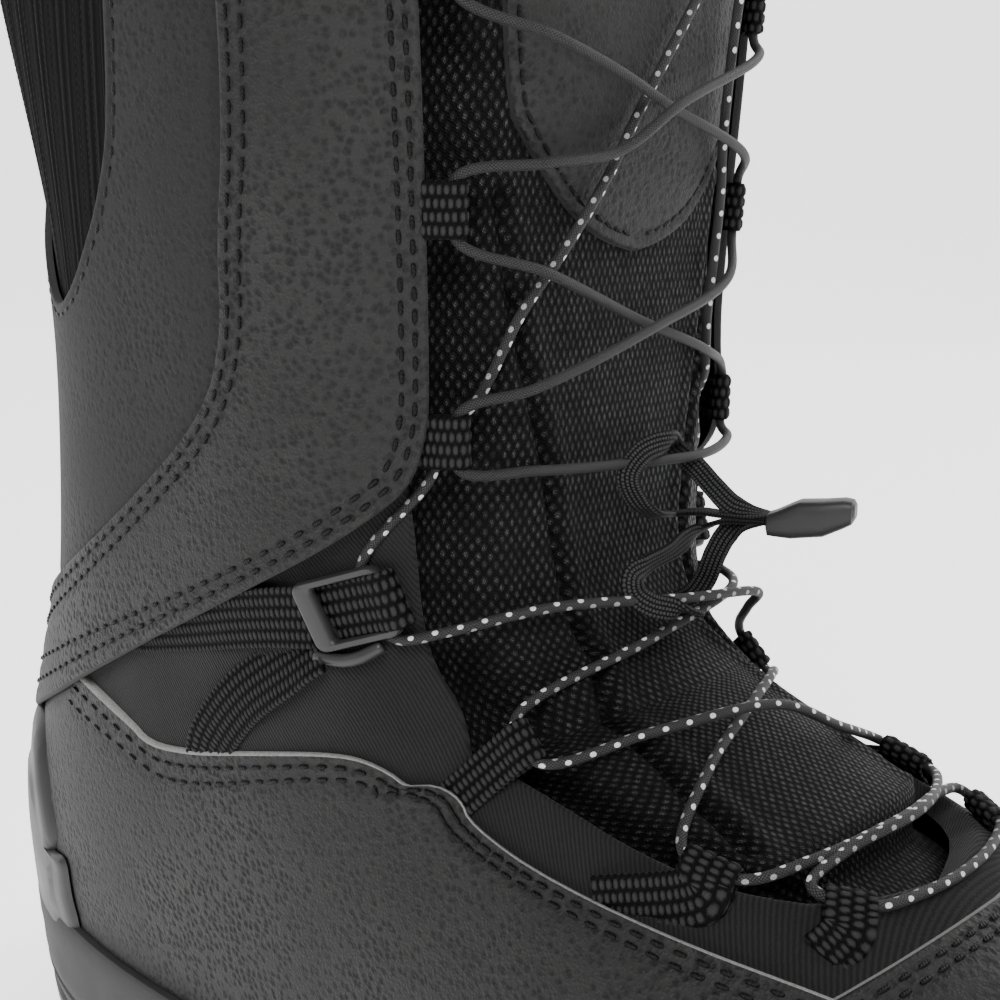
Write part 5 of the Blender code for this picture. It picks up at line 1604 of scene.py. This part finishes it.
def make_sole():
    mid = [(0.0102, 0.0004), (0.0108, 0.0014), (0.0135, 0.0022), (0.0150, 0.0026), (0.0156, 0.0021)]
    mid += [(0.0162, 0.0026), (0.0190, 0.0030), (0.0230, 0.0032), (0.0262, 0.0036)]
    mid += [(0.0300, 0.0038), (0.0336, 0.0037), (0.0344, 0.0031), (0.0346, 0.0022), (0.0343, 0.0)]

    def toe_bumper(points):
        """The foxing rises a little round the toe."""
        ahead = np.clip((points[:, 0] - 0.105) / 0.035, 0, 1)
        t = ahead * np.clip((points[:, 2] - 0.028) / 0.005, 0, 1)
        points[:, 2] += 0.0042 * t * t * (3 - 2 * t)
        return points

    piece = stacked("midsole", mid, "midsole", ripple=toe_bumper)
    settle(piece, "foot", ["midsole"])
    out = [(0.0042, -0.0010), (0.0046, 0.0004), (0.0060, 0.0014), (0.0092, 0.0018)]
    out += [(0.0098, 0.0012), (0.0100, 0.0)]
    plate = stacked("outsole", out, "rubber")
    lugs = bmesh.new()
    lugs.from_mesh(plate.data)
    ring = plan_ring(-0.0030, 200, 0.0)
    spots = np.array(
        [
            (row * LUG_STEP[0] + 0.002, column * LUG_STEP[1] + (row % 2) * LUG_STAGGER)
            for row in range(-12, 13)
            for column in range(-4, 5)
        ]
    )
    clear = is_inside(spots, ring[:, :2]) & (edge_gap(spots, ring[:, :2]) > 0.0058)
    arch = (spots[:, 0] > ARCH_X[0]) & (spots[:, 0] < ARCH_X[1]) & (np.abs(spots[:, 1]) < ARCH_HALF)
    clear &= ~arch
    for cx, cy in spots[clear]:
        add_lug(lugs, cx, cy)
    lugs.to_mesh(plate.data)
    lugs.free()
    settle(plate, "foot", ["outsole"])
    bed = [(0.0372, -0.0215), (0.0376, -0.0198), (0.0405, -0.0194), (0.0411, -0.0204)]
    bed += [(0.0413, -0.0230)]
    piece = stacked("footbed", bed, "lining", 160)
    settle(piece, "foot", ["footbed"])


def add_lug(bm, cx, cy):
    """Six-sided lug with a bevelled foot, reaching the ground."""
    rings = []
    for z, size in ((0.0050, 0.0052), (0.0010, 0.0046), (0.0002, 0.0041), (0.0, 0.0036)):
        turns = [pi / 6 + pi / 3 * i for i in range(6)]
        rings.append([bm.verts.new((cx + size * cos(t), cy + size * 1.05 * sin(t), z)) for t in turns])
    for low, high in zip(rings[:-1], rings[1:], strict=True):
        for i in range(6):
            j = (i + 1) % 6
            bm.faces.new((low[i], low[j], high[j], high[i]))
    bm.faces.new(list(reversed(rings[0])))
    bm.faces.new(rings[-1])


NODE_LOOKS = {  # by how a node's name starts; the first that fits counts
    "lace_lock_pin": "steel",
    "shank": "steel",
    "lace_lock": "plastic",
    "lasting_board": "board",
    "heel_counter": "foam",
    "liner_sole": "foam",
}


def finish_nodes():
    """Finishes for the small hard CAD pieces that show as they are."""
    for name, node in frame["nodes"].items():
        looks = [look for start, look in NODE_LOOKS.items() if name.startswith(start)]
        if looks:
            node.data.materials.clear()
            node.data.materials.append(LOOK[looks[0]])


# ---------------------------------------------------------------- floor and light
FLOOR_FRONT, FLOOR_BACK, STAGE_HALF, WALL_TOP = -2.5, 1.6, 6.0, 4.0
BEND_RADIUS, BEND_ROWS = 1.0, 24
FLOOR_DROP = 0.0004


def make_stage():
    """Paper that runs from the floor up into a wall behind the boot."""
    bend = []
    for i in range(BEND_ROWS + 1):
        t = i / BEND_ROWS * pi / 2
        bend.append((FLOOR_BACK + sin(t) * BEND_RADIUS, (1 - cos(t)) * BEND_RADIUS))
    profile = [(FLOOR_FRONT, 0.0), *bend, (FLOOR_BACK + BEND_RADIUS, WALL_TOP)]
    back = Vector((-sin(CAMERA_AZIMUTH), cos(CAMERA_AZIMUTH), 0.0))
    side = Vector((cos(CAMERA_AZIMUTH), sin(CAMERA_AZIMUTH), 0.0))
    points = []
    for d, z in profile:
        for w in (-STAGE_HALF, STAGE_HALF):
            points.append(tuple(back * d + side * w + Vector((0, 0, z - FLOOR_DROP))))
    faces = [(2 * i, 2 * i + 1, 2 * i + 3, 2 * i + 2) for i in range(len(profile) - 1)]
    floor = mesh_object("backdrop", points, faces, [])
    paper = new_material("backdrop", (0.95, 0.95, 0.95), 0.9, Emission_Strength=1.4)
    paper.node_tree.nodes["Principled BSDF"].inputs["Emission Color"].default_value = (1, 1, 1, 1)
    floor.data.materials.append(paper)


def area_light(name, at, aim, size, power):
    data = bpy.data.lights.new(name, "AREA")
    data.shape = "RECTANGLE"
    data.size, data.size_y = size
    data.energy = power
    lamp = bpy.data.objects.new(name, data)
    lamp.location = at
    lamp.rotation_euler = (Vector(aim) - Vector(at)).to_track_quat("-Z", "Y").to_euler()
    bpy.context.scene.collection.objects.link(lamp)


def make_light():
    world = bpy.data.worlds.new("studio")
    world.use_nodes = True
    world.node_tree.nodes["Background"].inputs["Color"].default_value = (1.0, 1.0, 1.0, 1.0)
    world.node_tree.nodes["Background"].inputs["Strength"].default_value = 0.18
    bpy.context.scene.world = world
    area_light("key", (0.9, -1.1, 1.5), (0.0, 0.0, 0.15), (0.9, 0.9), 44.0)
    area_light("fill", (-1.3, -1.0, 0.8), (0.0, 0.0, 0.15), (1.0, 1.0), 5.0)
    area_light("rim", (0.6, 1.3, 1.2), (0.0, 0.0, 0.15), (1.0, 0.6), 18.0)


# ---------------------------------------------------------------- the whole boot
make_camera()
make_light()
make_stage()
make_sole()
make_softshell()
make_leather()
make_gussets()
make_toe_cap()
make_heel_cup()
make_tongue()
make_loops()
for side_name, side_turn in SIDES:
    make_harness(side_name, side_turn)
locks = {side: LockFrame(sign) for side, sign in SIGNS.items()}
for side_name, lock in locks.items():
    make_handle(side_name, lock)
make_laces(locks)
make_pull_tab()
make_rear_loop()
make_liner()
finish_nodes()
